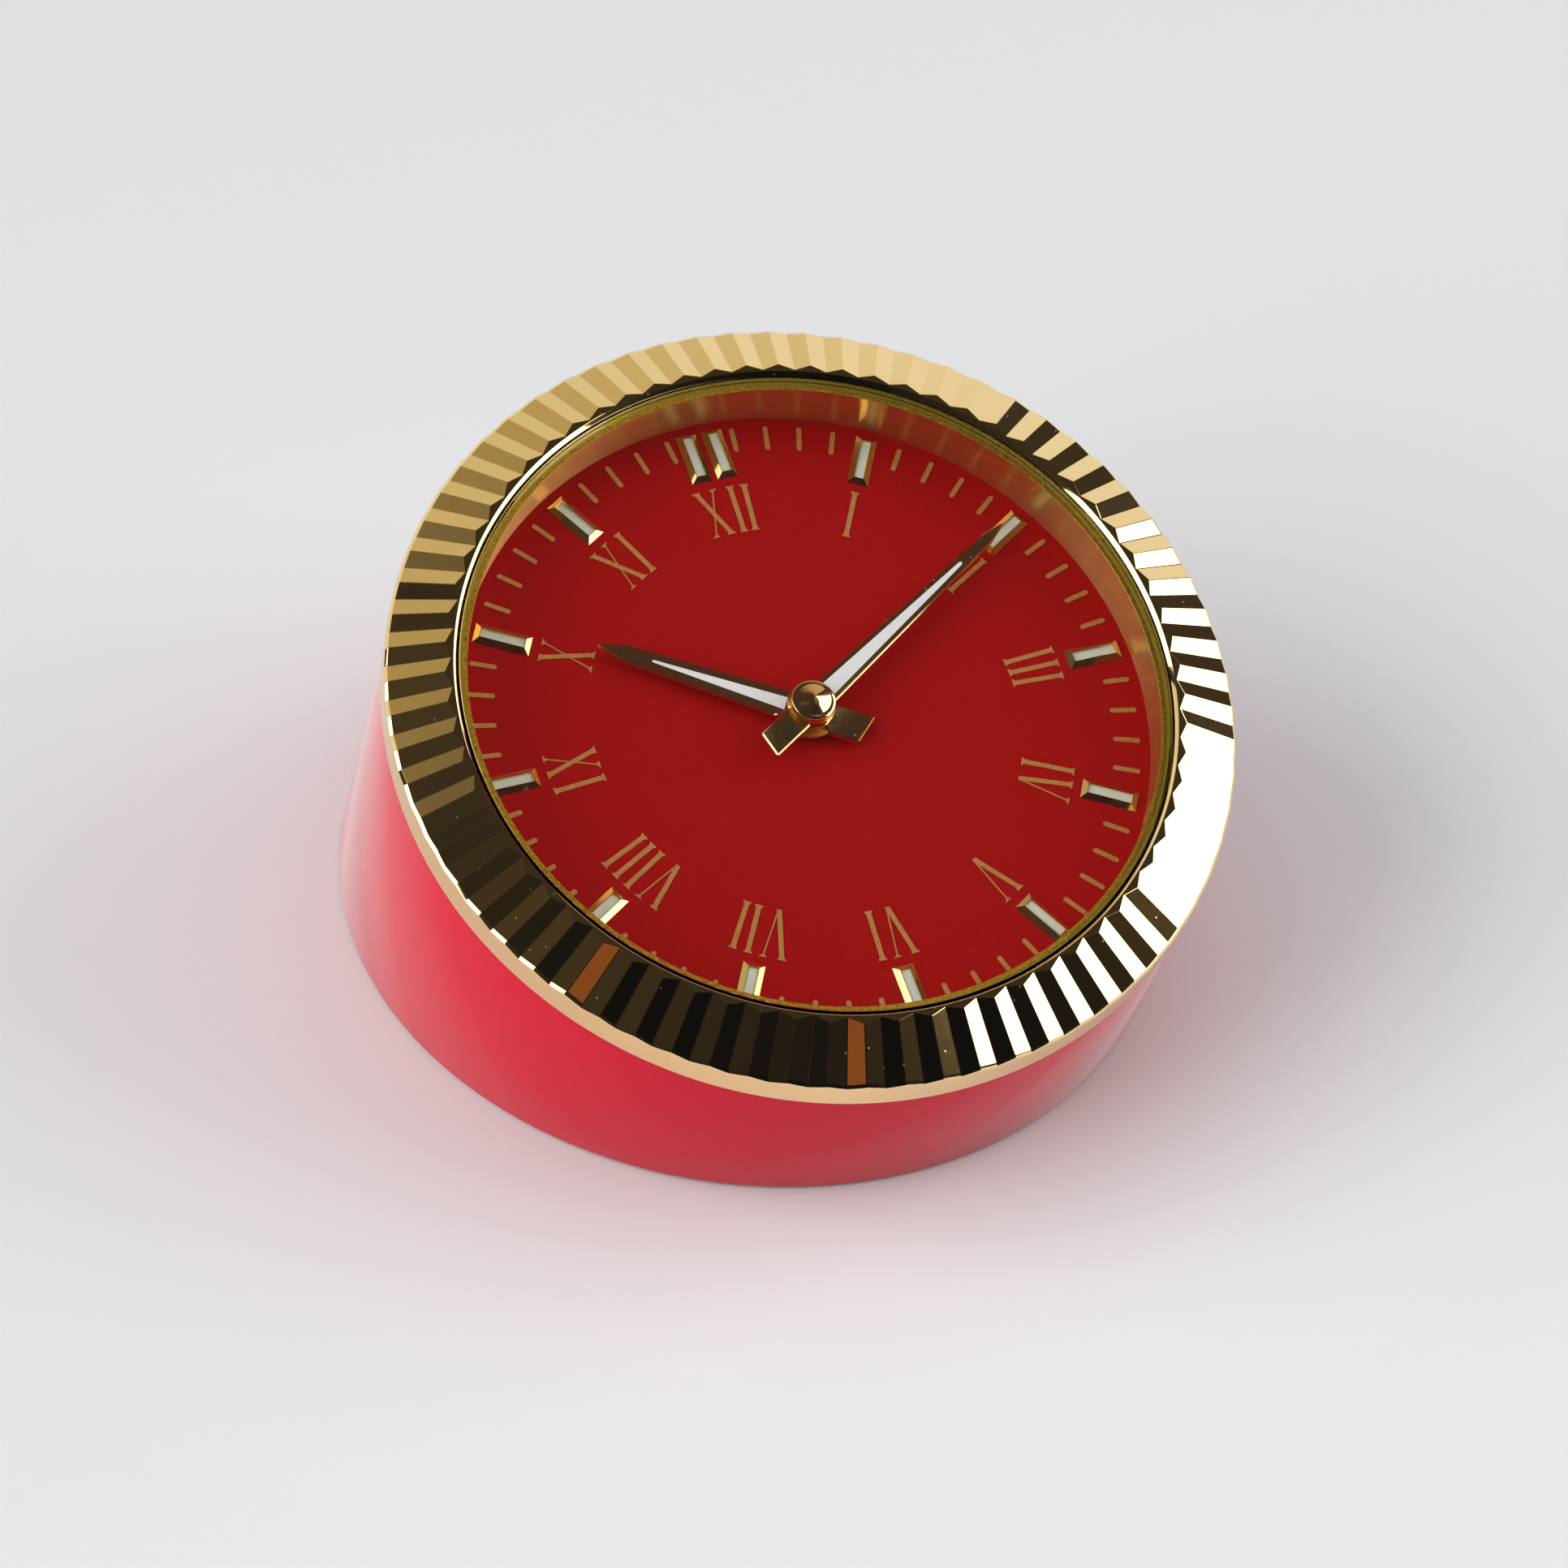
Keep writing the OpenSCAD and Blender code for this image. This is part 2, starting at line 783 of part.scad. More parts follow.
module minute_outline() {
    shoulder = minute_len - minute_point;
    polygon([[0, minute_len], [-minute_narrow, shoulder], [-minute_wide, cap_r],
        [-minute_wide, -minute_tail_short], [minute_wide, -minute_tail_long],
        [minute_wide, cap_r], [minute_narrow, shoulder]]);
}

module inlay_outline(foot, tip, wide, narrow, grow) {
    w = wide + grow;
    n = narrow + grow;
    polygon([[-w, foot - grow], [w, foot - grow], [n, tip], [0, tip + n], [-n, tip]]);
}

module hour_inlay_outline(grow) {
    inlay_outline(hour_inlay_foot, hour_len - hour_inlay_gap, hour_inlay_wide, hour_inlay_narrow, grow);
}

module minute_inlay_outline(grow) {
    inlay_outline(cap_r + minute_hub_over, minute_len - minute_inlay_gap, minute_inlay_wide,
        minute_inlay_narrow, grow);
}

module hour_hand() {
    z0 = hour_z - hand_t;
    color(gold)
        in_dial()
            rotate([0, 0, -hour_angle])
                difference() {
                    translate([0, 0, z0])
                        linear_extrude(hand_t)
                            union() {
                                hour_outline();
                                circle(r = hour_hub_r);
                            }
                    disc(hour_tube_r + slip, z0 - over, hour_z + over);
                    translate([0, 0, hour_z - inlay_t])
                        linear_extrude(inlay_t + over)
                            hour_inlay_outline(slip);
                }
}

module hour_hand_inlay() {
    color(white)
        in_dial()
            rotate([0, 0, -hour_angle])
                translate([0, 0, hour_z - inlay_t])
                    linear_extrude(inlay_t)
                        hour_inlay_outline(0);
}

module minute_hand() {
    z0 = minute_z - hand_t;
    color(gold)
        in_dial()
            rotate([0, 0, -minute_angle])
                difference() {
                    translate([0, 0, z0])
                        linear_extrude(hand_t)
                            union() {
                                minute_outline();
                                circle(r = cap_r + minute_hub_over);
                            }
                    disc(arbor_r + slip, z0 - over, minute_z + over);
                    translate([0, 0, minute_z - inlay_t])
                        linear_extrude(inlay_t + over)
                            minute_inlay_outline(slip);
                }
}

module minute_hand_inlay() {
    color(white)
        in_dial()
            rotate([0, 0, -minute_angle])
                translate([0, 0, minute_z - inlay_t])
                    linear_extrude(inlay_t)
                        minute_inlay_outline(0);
}

module hub_cap() {
    z0 = minute_z + touch;
    edge_z = z0 + cap_wall_h;
    bore_r = arbor_r + slip;
    bore_z = minute_z + arbor_above + seat;
    color(gold)
        in_dial()
            rotate_extrude()
                polygon([[bore_r, z0], [cap_r, z0], [cap_r, edge_z],
                    [cap_r - cap_round[0], edge_z + cap_rise[0]],
                    [cap_r - cap_round[1], edge_z + cap_rise[1]],
                    [0, z0 + cap_h], [0, bore_z], [bore_r, bore_z]]);
}

// Motion work
module hour_wheel() {
    z1 = hour_z + hour_tube_above;
    color(brass)
        in_dial()
            difference() {
                union() {
                    disc(hour_tube_r, hour_wheel_z - work_wheel_t, z1);
                    wheel(hour_n, hw_mod, hour_wheel_z, work_wheel_t, 180 / hour_n);
                }
                disc(arbor_r + run_gap, hour_wheel_z - 2 * over, z1 + over);
            }
}

module minute_arbor() {
    step_z = train_back - 1.3 * u;
    color(steel)
        in_dial() {
            disc(arbor_r, step_z, minute_z + arbor_above);
            pinion(cannon_n, mw_mod, cannon_z, cannon_l, 0);
            disc(pivot_r, third_z - 1.9 * u, step_z);
        }
}

module minute_wheel() {
    leaves = hour_wheel_z - minute_wheel_z + thread;
    color(brass)
        in_dial()
            at(minute_at) {
                wheel(minute_n, mw_mod, minute_wheel_z, work_wheel_t, 180 + 180 / minute_n);
                pinion(reducer_n, hw_mod, hour_wheel_z + seat, leaves, 180);
                disc(pivot_r, minute_wheel_z, work_z + pivot_l);
                disc(knob_shaft_r, mov_back - knob_gap - knob_h - thread,
                    minute_wheel_z - work_wheel_t / 2);
            }
}

module setting_knob() {
    z1 = mov_back - knob_gap;
    color(black)
        in_dial()
            at(minute_at)
                difference() {
                    translate([0, 0, z1 - knob_h])
                        linear_extrude(knob_h)
                            polygon([for (i = [0 : 2 * knob_ribs - 1])
                                (i % 2 == 0 ? knob_r : knob_r - knob_rib_h)
                                * [cos(i * 180 / knob_ribs), sin(i * 180 / knob_ribs)]]);
                    disc(knob_shaft_r + slip, z1 - knob_h - over, z1 + over);
                }
}

// Going train
module centre_wheel() {
    color(brass)
        in_dial()
            difference() {
                wheel(centre_n, train_mod, centre_z, wheel_t, third_dir + 180 / centre_n);
                disc(arbor_r + run_gap, centre_z - 2 * over, centre_z + over);
            }
}

module train_arbor(p, level, phase_wheel, phase_leaf, z0) {
    at(p) {
        pinion(leaf_n, train_mod, level + leaf_up, leaf_t, phase_leaf);
        wheel(wheel_n, train_mod, level, wheel_t, phase_wheel);
        disc(shaft_r, z0, train_back + pivot_l);
        disc(shaft_r + seat, level - seat, level + leaf_up - leaf_t + seat);
    }
}

module third_wheel() {
    color(brass)
        in_dial()
            train_arbor(third_at, third_z, second_dir + 180 / wheel_n, third_dir + 180,
                second_z - shaft_below);
}

module second_wheel() {
    color(white)
        in_dial()
            train_arbor(second_at, second_z, rotor_dir + 180 / wheel_n, second_dir + 180,
                rotor_z - shaft_below);
}

module rotor() {
    color(black)
        in_dial()
            at(rotor_at) {
                pinion(leaf_n, train_mod, second_z + leaf_over, leaf_t, rotor_dir + 180);
                disc(magnet_r, rotor_z - magnet_h, rotor_z);
                disc(shaft_r, rotor_z - magnet_h - socket_l, train_back + pivot_l);
            }
}

// Motor: the stator goes round the rotor and reaches to both ends of the coil's core
module stator() {
    x = rotor_at[0];
    y = rotor_at[1];
    color(steel)
        in_dial()
            translate([0, 0, stator_z - stator_t])
                linear_extrude(stator_t)
                    difference() {
                        polygon([[x - stator_side, y - stator_low], [stator_x1, y - stator_low],
                            [stator_x1, coil_y0], [x + stator_inner, coil_y0],
                            [x + stator_inner, y + stator_neck],
                            [coil_x - flange_half - stator_room, coil_y1], [stator_x1, coil_y1],
                            [stator_x1, coil_y1 + stator_arm],
                            [coil_x - flange_half - stator_arm / 2, coil_y1 + stator_arm],
                            [x - stator_shoulder, y + stator_up], [x - stator_side, y + stator_up]]);
                        translate([x, y])
                            circle(r = magnet_r + magnet_gap);
                    }
}

module coil_bobbin() {
    color(ivory)
        in_dial()
            translate([coil_x, 0, stator_z - stator_t / 2]) {
                block(-core_w / 2, core_w / 2, coil_y0, coil_y1, -core_h / 2, core_h / 2);
                for (y = [coil_y0 + slip, coil_y1 - slip - coil_flange_t])
                    block(-flange_half, flange_half, y, y + coil_flange_t, -flange_half, flange_half);
            }
}

module coil_winding() {
    l = coil_y1 - coil_y0 - 2 * coil_flange_t - seat - thread / 2;
    w = core_w + seat;
    h = core_h + seat;
    color(copper)
        in_dial()
            translate([coil_x, (coil_y0 + coil_y1 - l) / 2, stator_z - stator_t / 2])
                rotate([-90, 0, 0])
                    difference() {
                        cylinder(r = flange_half - thread, h = l);
                        translate([-w / 2, -h / 2, -over])
                            cube([w, h, l + 2 * over]);
                    }
}

// Movement housing
module train_plate() {
    color(ivory)
        in_dial()
            difference() {
                block(train_x[0], train_x[1], train_y[0], train_y[1], train_back, train_z);
                disc(arbor_r + run_gap, train_back - over, train_z + over);
                at(minute_at)
                    disc(knob_shaft_r + run_gap, train_back - over, train_z + over);
                at_each([third_at, second_at, rotor_at])
                    disc(shaft_r + run_gap, train_back - over, train_back + pivot_l + seat);
                at_each(train_posts)
                    disc(screw_r + seat, train_back - over, train_z + over);
            }
}

module train_screws() {
    color(steel)
        in_dial()
            at_each(train_posts) {
                disc(train_head_r, train_back - train_head_h, train_back);
                disc(screw_r, train_back, train_z + train_bite);
            }
}

module housing_ear(x, y) {
    at([x * ear_x, y * ear_y])
        disc(ear_r, work_z, plate_z);
    block(x > 0 ? mov_w / 2 - over : -ear_x, x > 0 ? ear_x : -mov_w / 2 + over,
        y * ear_y - ear_r, y * ear_y + ear_r, work_z, plate_z);
}

module housing_front() {
    color(ivory)
        in_dial()
            difference() {
                union() {
                    soft_block(mov_w, mov_r, work_z, plate_z);
                    difference() {
                        soft_block(mov_w, mov_r, split_z, work_z);
                        soft_block(in_w, mov_r - mov_wall, split_z - over, work_z);
                    }
                    for (x = [-1, 1], y = [-1, 1])
                        housing_ear(x, y);
                    disc(bush_r, work_z, -dial_t - touch);
                    at_each(train_posts)
                        disc(post_r, train_z, work_z);
                    at_each(posts)
                        disc(post_r, back_in, work_z);
                }
                disc(hour_tube_r + run_gap, work_z - over, over);
                at(minute_at)
                    disc(pivot_r + run_gap, work_z - over, work_z + pivot_l + seat);
                at_each(ears)
                    disc(screw_hole_r, work_z - over, plate_z + over);
                at_each(train_posts)
                    disc(screw_hole_r, train_z - over, work_z - screw_bite);
                at_each(posts)
                    disc(screw_hole_r, back_in - over, back_in + post_hole_l);
            }
}

module back_boss(p, z1) {
    at(p)
        difference() {
            disc(boss_small_r, back_in - touch, z1);
            disc(shaft_r + run_gap, back_in + screw_bite / 2, z1 + over);
        }
}

module housing_back() {
    stator_back = stator_z - stator_t;
    color(ivory)
        in_dial() {
            difference() {
                union() {
                    soft_block(mov_w, mov_r, mov_back, back_in);
                    difference() {
                        soft_block(mov_w, mov_r, back_in, split_z);
                        soft_block(in_w, mov_r - mov_wall, back_in, split_z + over);
                    }
                    block(-in_w / 2 - screw_bite, in_w / 2 + screw_bite, bay_y0 - bay_wall, bay_y0,
                        back_in, split_z);
                }
                block(-in_w / 2, in_w / 2, bay_y0, bay_y1, mov_back - over, back_in + over);
                at(minute_at)
                    disc(knob_shaft_r + run_gap, mov_back - over, back_in + over);
                at_each(posts)
                    disc(screw_r + seat, mov_back - over, back_in + over);
            }
            difference() {
                disc(post_r, back_in, third_z - u);
                disc(pivot_r + run_gap, third_z - 2.2 * u, third_z);
            }
            back_boss(third_at, second_z - u);
            back_boss(second_at, rotor_z - 0.8 * u);
            back_boss(rotor_at, rotor_z - magnet_h - 0.3 * u);
            for (y = board_posts)
                at([board_x, y])
                    disc(board_post_r, back_in, board_z);
            at(stator_post)
                disc(board_post_r, back_in, stator_back);
            for (y = [coil_y0 - stator_post_out, coil_y1 + stator_post_out])
                at([coil_x, y])
                    disc(coil_post_r, back_in, stator_back);
        }
}

module housing_screws() {
    color(steel)
        in_dial()
            at_each(posts) {
                disc(screw_head_r, mov_back - screw_head_h, mov_back);
                disc(screw_r, mov_back, back_in + post_screw_l);
            }
}

module movement_screws() {
    color(steel)
        in_dial()
            at_each(ears) {
                disc(screw_head_r, work_z - screw_head_h, work_z);
                disc(screw_r, work_z, plate_z + carrier_t - screw_bite);
            }
}

module dial_carrier() {
    hole_top = -dial_t - screw_bite + thread;
    color(ivory)
        in_dial()
            difference() {
                ring(case_bore_r - plate_room, bush_r + 3 * seat, plate_z, -dial_t);
                at_each(ears)
                    disc(screw_hole_r, plate_z - over, hole_top);
                around(carrier_screw_n, screw_first)
                    at([carrier_screw_r, 0])
                        disc(screw_hole_r, plate_z - over, hole_top);
            }
}

module carrier_screws() {
    flange_z = plate_z - flange_t;
    color(steel)
        in_dial()
            around(carrier_screw_n, screw_first)
                at([carrier_screw_r, 0]) {
                    disc(screw_head_r, flange_z - screw_head_h, flange_z);
                    disc(screw_r, flange_z, -dial_t - screw_bite);
                }
}

// Battery and circuit
module battery() {
    x1 = in_w / 2 - contact_t - seat;
    color(jacket)
        in_dial()
            translate([x1 - battery_l, battery_y, battery_z])
                rotate([0, 90, 0]) {
                    cylinder(r = battery_r, h = battery_l - nub_l);
                    cylinder(r = nub_r, h = battery_l);
                }
}

module positive_contact() {
    x1 = in_w / 2;
    color(steel)
        in_dial()
            block(x1 - contact_t, x1, battery_y - contact_w / 2, battery_y + contact_w / 2,
                battery_z - contact_half, battery_z + contact_half);
}

// A leaf spring: a flat back with a tongue that leans against the battery
module negative_contact() {
    tip = in_w - battery_l - contact_t - seat - touch;
    t = contact_t;
    b = contact_half;
    color(steel)
        in_dial()
            translate([-in_w / 2, battery_y + tongue_w / 2, battery_z])
                rotate([90, 0, 0])
                    linear_extrude(tongue_w)
                        polygon([[0, -b], [t, -b], [t, 0.68 * b], [tip - t, t / 2], [tip - t, -1.5 * t],
                            [tip, -1.5 * t], [tip, t], [t, 0.82 * b], [t, b], [0, b]]);
}

module circuit_board() {
    color(green)
        in_dial()
            block(board_x0, board_x1, board_y0, board_y1, board_z, board_z + board_t);
}

module ic_chip() {
    color(black)
        in_dial()
            translate([chip_at[0], chip_at[1], board_z + board_t])
                cube([chip_w, chip_w, chip_h]);
}

module quartz_can() {
    color(steel)
        in_dial()
            translate([can_at[0], can_at[1], board_z + board_t + can_r])
                rotate([-90, 0, 0])
                    cylinder(r = can_r, h = can_l);
}

// Base
module sector(half_angle, h) {
    linear_extrude(h)
        polygon([[0, 0], [far, -far * tan(half_angle)], [far, far * tan(half_angle)]]);
}

module base_plate() {
    color(black)
        difference() {
            union() {
                intersection() {
                    in_dial()
                        disc(case_bore_r - base_gap, case_low - 5 * over, case_top);
                    in_row()
                        block(-far, far, -far, far, base_z, base_top);
                }
                in_row()
                    around(tab_n)
                        for (a = [tab_half + 2 * tab_play, -tab_half - cover_turn - 2.5 * tab_play])
                            rotate([0, 0, a])
                                block(opening_r + screw_bite, opening_r + screw_bite + stop_w,
                                    -stop_w / 2, stop_w / 2, base_top - screw_bite,
                                    base_top + stop_h);
            }
            in_row() {
                disc(opening_r, base_z - over, base_top + 3 * over);
                around(tab_n, -cover_turn)
                    intersection() {
                        disc(opening_r + tab_out + 2 * thread, base_z - over, base_top + 3 * over);
                        sector(tab_half + tab_play, base_top + 3 * over);
                    }
            }
            base_screw_holes(screw_r + thread, base_z - over, base_top + over);
            base_screw_holes(screw_head_r + thread, base_z - over, base_z + screw_head_h + seat);
        }
}

module base_screws() {
    color(steel) {
        base_screw_holes(screw_head_r, base_z + seat, base_z + screw_head_h + seat);
        base_screw_holes(screw_r, base_z + screw_head_h, base_top + boss_h - 2 * over);
    }
}

module foot_ring() {
    color(black)
        in_row()
            ring(foot_r1, foot_r0, 0, base_z);
}

module base_cover() {
    r = opening_r - cover_gap;
    rib_r = r - rib_in;
    slot_x = opening_r / 5;
    color(black)
        in_row()
            difference() {
                union() {
                    disc(r, base_z, base_top - rib_sink);
                    ring(rib_r, rib_r - rib_w, base_top - rib_sink - 3 * seat, tab_z + tab_t + 3 * seat);
                    around(tab_n)
                        intersection() {
                            ring(opening_r + tab_out, rib_r - rib_w / 2, tab_z, tab_z + tab_t);
                            sector(tab_half, tab_z + tab_t + over);
                        }
                }
                for (s = [0, 180])
                    rotate([0, 0, s])
                        block(slot_x, r - slot_end, -slot_w / 2, slot_w / 2, base_z - over,
                            base_z + slot_d);
            }
}

// Assembly
case_body();
bezel();
crystal();
crystal_gasket();
inner_ring();
dial_plate();
minute_track();
roman_numerals();
baton_frames();
baton_inlays();
dial_carrier();
carrier_screws();
housing_front();
housing_back();
housing_screws();
movement_screws();
train_plate();
train_screws();
battery();
positive_contact();
negative_contact();
circuit_board();
quartz_can();
ic_chip();
coil_bobbin();
coil_winding();
stator();
base_plate();
base_screws();
foot_ring();
hour_hand();
hour_hand_inlay();
hour_wheel();
minute_hand();
minute_hand_inlay();
hub_cap();
minute_arbor();
minute_wheel();
setting_knob();
centre_wheel();
third_wheel();
second_wheel();
rotor();
base_cover();
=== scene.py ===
import json
import math

import bpy
import numpy as np
from bpy.props import FloatProperty, FloatVectorProperty, IntProperty, PointerProperty
from mathutils import Euler, Matrix, Vector

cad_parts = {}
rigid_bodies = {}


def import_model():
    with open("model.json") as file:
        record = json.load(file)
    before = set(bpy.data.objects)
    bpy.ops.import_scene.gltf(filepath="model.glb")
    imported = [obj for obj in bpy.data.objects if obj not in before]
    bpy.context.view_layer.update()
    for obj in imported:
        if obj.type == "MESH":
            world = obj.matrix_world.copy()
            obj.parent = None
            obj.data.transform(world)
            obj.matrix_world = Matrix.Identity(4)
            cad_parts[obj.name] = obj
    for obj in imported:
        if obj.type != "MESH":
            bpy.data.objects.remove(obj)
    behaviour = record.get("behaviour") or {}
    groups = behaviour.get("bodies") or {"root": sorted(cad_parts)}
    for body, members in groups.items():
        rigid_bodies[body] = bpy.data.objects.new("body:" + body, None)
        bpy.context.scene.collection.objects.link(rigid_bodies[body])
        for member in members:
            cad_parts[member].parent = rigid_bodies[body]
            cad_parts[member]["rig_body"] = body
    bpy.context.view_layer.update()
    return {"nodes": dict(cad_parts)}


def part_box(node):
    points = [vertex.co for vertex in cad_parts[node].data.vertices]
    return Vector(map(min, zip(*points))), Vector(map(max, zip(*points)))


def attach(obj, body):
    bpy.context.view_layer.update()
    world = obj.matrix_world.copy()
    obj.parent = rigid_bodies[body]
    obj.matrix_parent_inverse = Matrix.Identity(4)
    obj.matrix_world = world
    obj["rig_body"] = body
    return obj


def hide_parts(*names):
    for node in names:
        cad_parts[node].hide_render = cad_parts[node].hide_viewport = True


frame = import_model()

bl_info = {
    "name": "Desk clock",
    "version": (1, 0, 0),
    "blender": (4, 5, 0),
    "location": "View3D > Sidebar > Clock",
    "description": "Smooth pieces, finishes, floor and camera of a red and gold desk clock",
    "category": "Object",
}

MM = 0.001
TILT = math.radians(20)
DIAL_HEIGHT = 35.85
FOOT_GAP = 0.4
FOOT_LO, FOOT_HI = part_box("foot_ring")
SHIFT_Y = (FOOT_LO[1] + FOOT_HI[1]) / 2 / MM

# Radii about the dial's axis and places along it, in mm from the dial's face, as in the CAD
CASE_WALL, CASE_TOP = 2.2, 1.53
FLANGE_R, FLANGE_LOW, FLANGE_TOP = 39.3, -4.8, -2.8
BORE_R, CHAMFER_LOW, CHAMFER_R = 38.44, 7.65, 39.0
FLUTE_START_R = 39.21
EDGE_W, EDGE_FALL = 0.32, 0.56
GLASS_R, GLASS_LOW, GLASS_TOP, GLASS_EDGE = 38.4, 6.43, 7.93, 0.08
SEAL_R0, SEAL_R1, SEAL_LOW, SEAL_EDGE = 38.0, 38.38, 6.04, 0.02
RING_TOP, RING_TOP_R, RING_FOOT_R, RING_RIM_R, SEAT_R = 6.42, 37.4, 37.74, 38.4, 37.98
DIAL_R, DIAL_HOLE_R, DIAL_T = 43.2, 2.2, 0.8
HAND_T, HAND_BEVEL = 0.5, 0.15
HOUR_TOP, MINUTE_TOP, CAP_LOW, CAP_R = 1.56, 3.04, 3.05, 2.4
RING_STEPS, DRUM_STEPS, HUB_STEPS, CAP_STEPS = 288, 360, 96, 128

# The camera as fitted to the dial's marks in the photograph: its place in the dial's frame in mm, and
# its turn in degrees about the scene's X, Y and Z, from a view straight down
CAMERA_PLACE = (-180.750, -235.912, 492.098)
CAMERA_TURN = (47.6136, -3.2962, -21.6196)
CAMERA_LENS, CAMERA_SENSOR = 123.26, 36.0

# The studio by direction: bearings in degrees from the back, clockwise, and heights above the horizon.
# Both gradients are set by comparing the bezel's mirror colours with the photograph's
ALL_ROUND, ALL_HEIGHTS = (-181, 181), (-91, 91)
BACKDROP_BY_HEIGHT = [
    (0, (0.80, 0.82, 0.84)), (21.6, (0.82, 0.83, 0.82)), (29.7, (0.66, 0.64, 0.50)),
    (39.6, (0.58, 0.52, 0.36)), (47.7, (0.40, 0.34, 0.17)), (52.2, (0.23, 0.19, 0.10)),
    (55.8, (0.12, 0.10, 0.065)), (61.2, (0.05, 0.04, 0.03))]
ROOM_BY_BEARING = [
    (-180, (0.006, 0.007, 0.012)), (-166, (0.006, 0.007, 0.012)), (-156, (0.011, 0.012, 0.017)),
    (-146, (0.022, 0.020, 0.019)), (-130, (0.032, 0.028, 0.025)), (-100, (0.050, 0.042, 0.033)),
    (-84, (0.064, 0.053, 0.040)), (-64, (0.040, 0.034, 0.028)), (-50, (0.030, 0.027, 0.026)),
    (66, (0.044, 0.037, 0.030)), (132, (0.080, 0.066, 0.046)), (142, (0.040, 0.034, 0.028)),
    (150, (0.020, 0.018, 0.018)), (162, (0.010, 0.011, 0.016)), (172, (0.006, 0.007, 0.012))]
CEILING = (0.040, 0.034, 0.028)
WHITE = (1.0, 1.0, 1.0)
BEHIND = (0.80, 0.81, 0.83)


# Frames and meshes

def to_row(points):
    """Dial millimetres (X to 3, Y to 12, Z out of the dial) to row metres: raise by the dial's height,
    turn by the tilt about X, lift by the foot gap and shift along Y."""
    p = np.asarray(points, float)
    z = p[..., 2] + DIAL_HEIGHT
    y = p[..., 1] * math.cos(TILT) - z * math.sin(TILT) + SHIFT_Y
    h = p[..., 1] * math.sin(TILT) + z * math.cos(TILT) + FOOT_GAP
    return np.stack([p[..., 0], y, h], -1) * MM


def new_piece(name, verts, faces, body, sharp, stands_for):
    """A mesh object of row points and faces, turned outwards if its signed volume is negative."""
    verts = np.asarray(verts, float)
    mesh = bpy.data.meshes.new(name)
    mesh.from_pydata(verts.tolist(), [], faces)
    mesh.update()
    tris = np.array([(f[0], f[i], f[i + 1]) for f in faces for i in range(1, len(f) - 1)])
    a, b, c = verts[tris[:, 0]], verts[tris[:, 1]], verts[tris[:, 2]]
    if np.einsum("ij,ij->i", a, np.cross(b, c)).sum() < 0:
        mesh.flip_normals()
    mesh.polygons.foreach_set("use_smooth", np.ones(len(mesh.polygons), bool))
    mesh.set_sharp_from_angle(angle=math.radians(sharp))
    piece = bpy.data.objects.new(name, mesh)
    bpy.context.scene.collection.objects.link(piece)
    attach(piece, body)
    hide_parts(*stands_for)
    return piece


def ring_faces(columns, rows, closed):
    """Quads of a grid whose columns go round and meet, and whose rows meet too where closed is set."""
    i, j = np.meshgrid(np.arange(columns), np.arange(rows if closed else rows - 1), indexing="ij")
    a = i * rows + j
    b = ((i + 1) % columns) * rows + j
    c = ((i + 1) % columns) * rows + (j + 1) % rows
    d = i * rows + (j + 1) % rows
    return np.stack([a, b, c, d], -1).reshape(-1, 4).tolist()


def turned(profile, columns):
    """Points of a solid of revolution about the dial's axis: (r cos a, r sin a, z) for each angle a and
    profile point (r, z). Returns dial points and faces; a profile that starts and ends on the axis gets
    one point at each pole, any other one is a closed ring."""
    prof = np.asarray(profile, float)
    poles = prof[0, 0] == 0 and prof[-1, 0] == 0
    body = prof[1:-1] if poles else prof
    a = np.arange(columns) * 2 * math.pi / columns
    r, z = body[:, 0], body[:, 1]
    pts = np.stack([np.cos(a)[:, None] * r, np.sin(a)[:, None] * r, np.zeros(columns)[:, None] + z], -1)
    pts = pts.reshape(-1, 3)
    n = len(body)
    faces = ring_faces(columns, n, not poles)
    if poles:
        first, last = len(pts), len(pts) + 1
        pts = np.vstack([pts, [[0, 0, prof[0, 1]], [0, 0, prof[-1, 1]]]])
        k = np.arange(columns)
        m = (k + 1) % columns
        faces += np.stack([np.full(columns, first), m * n, k * n], -1).tolist()
        faces += np.stack([np.full(columns, last), k * n + n - 1, m * n + n - 1], -1).tolist()
    return pts, faces


def joined(parts):
    """Several (points, faces) pairs as one."""
    pts, faces, base = [], [], 0
    for p, f in parts:
        pts.append(np.asarray(p, float))
        faces += [[i + base for i in face] for face in f]
        base += len(p)
    return np.vstack(pts), faces


def bar(stations, top_z, thick, bevel, slant):
    """A flat bar along +Y with bevelled top edges: at each station y its cross-section has a half-width,
    a top narrowed by the bevel and ends slanted by slant * x."""
    rows = []
    for y, w, lift in stations:
        inner = max(w - bevel, 0.004)
        low, mid = top_z - thick, top_z - bevel
        high = mid + bevel * lift
        xs = [-w, -w, -inner, inner, w, w]
        zs = [low, mid, high, high, mid, low]
        rows.append([[x, y + slant(y) * x, z] for x, z in zip(xs, zs)])
    pts = np.array(rows)
    n, m = pts.shape[:2]
    faces = ring_faces(n, m, True)[: (n - 1) * m]
    faces.append(list(range(m - 1, -1, -1)))
    faces.append([(n - 1) * m + j for j in range(m)])
    return pts.reshape(-1, 3), faces


def spun(points, clockwise):
    """Dial points turned clockwise by that many degrees, so that +Y points to a place on the dial."""
    a = -math.radians(clockwise)
    p = np.asarray(points, float)
    return np.stack([p[:, 0] * math.cos(a) - p[:, 1] * math.sin(a),
                     p[:, 0] * math.sin(a) + p[:, 1] * math.cos(a), p[:, 2]], -1)


# Materials

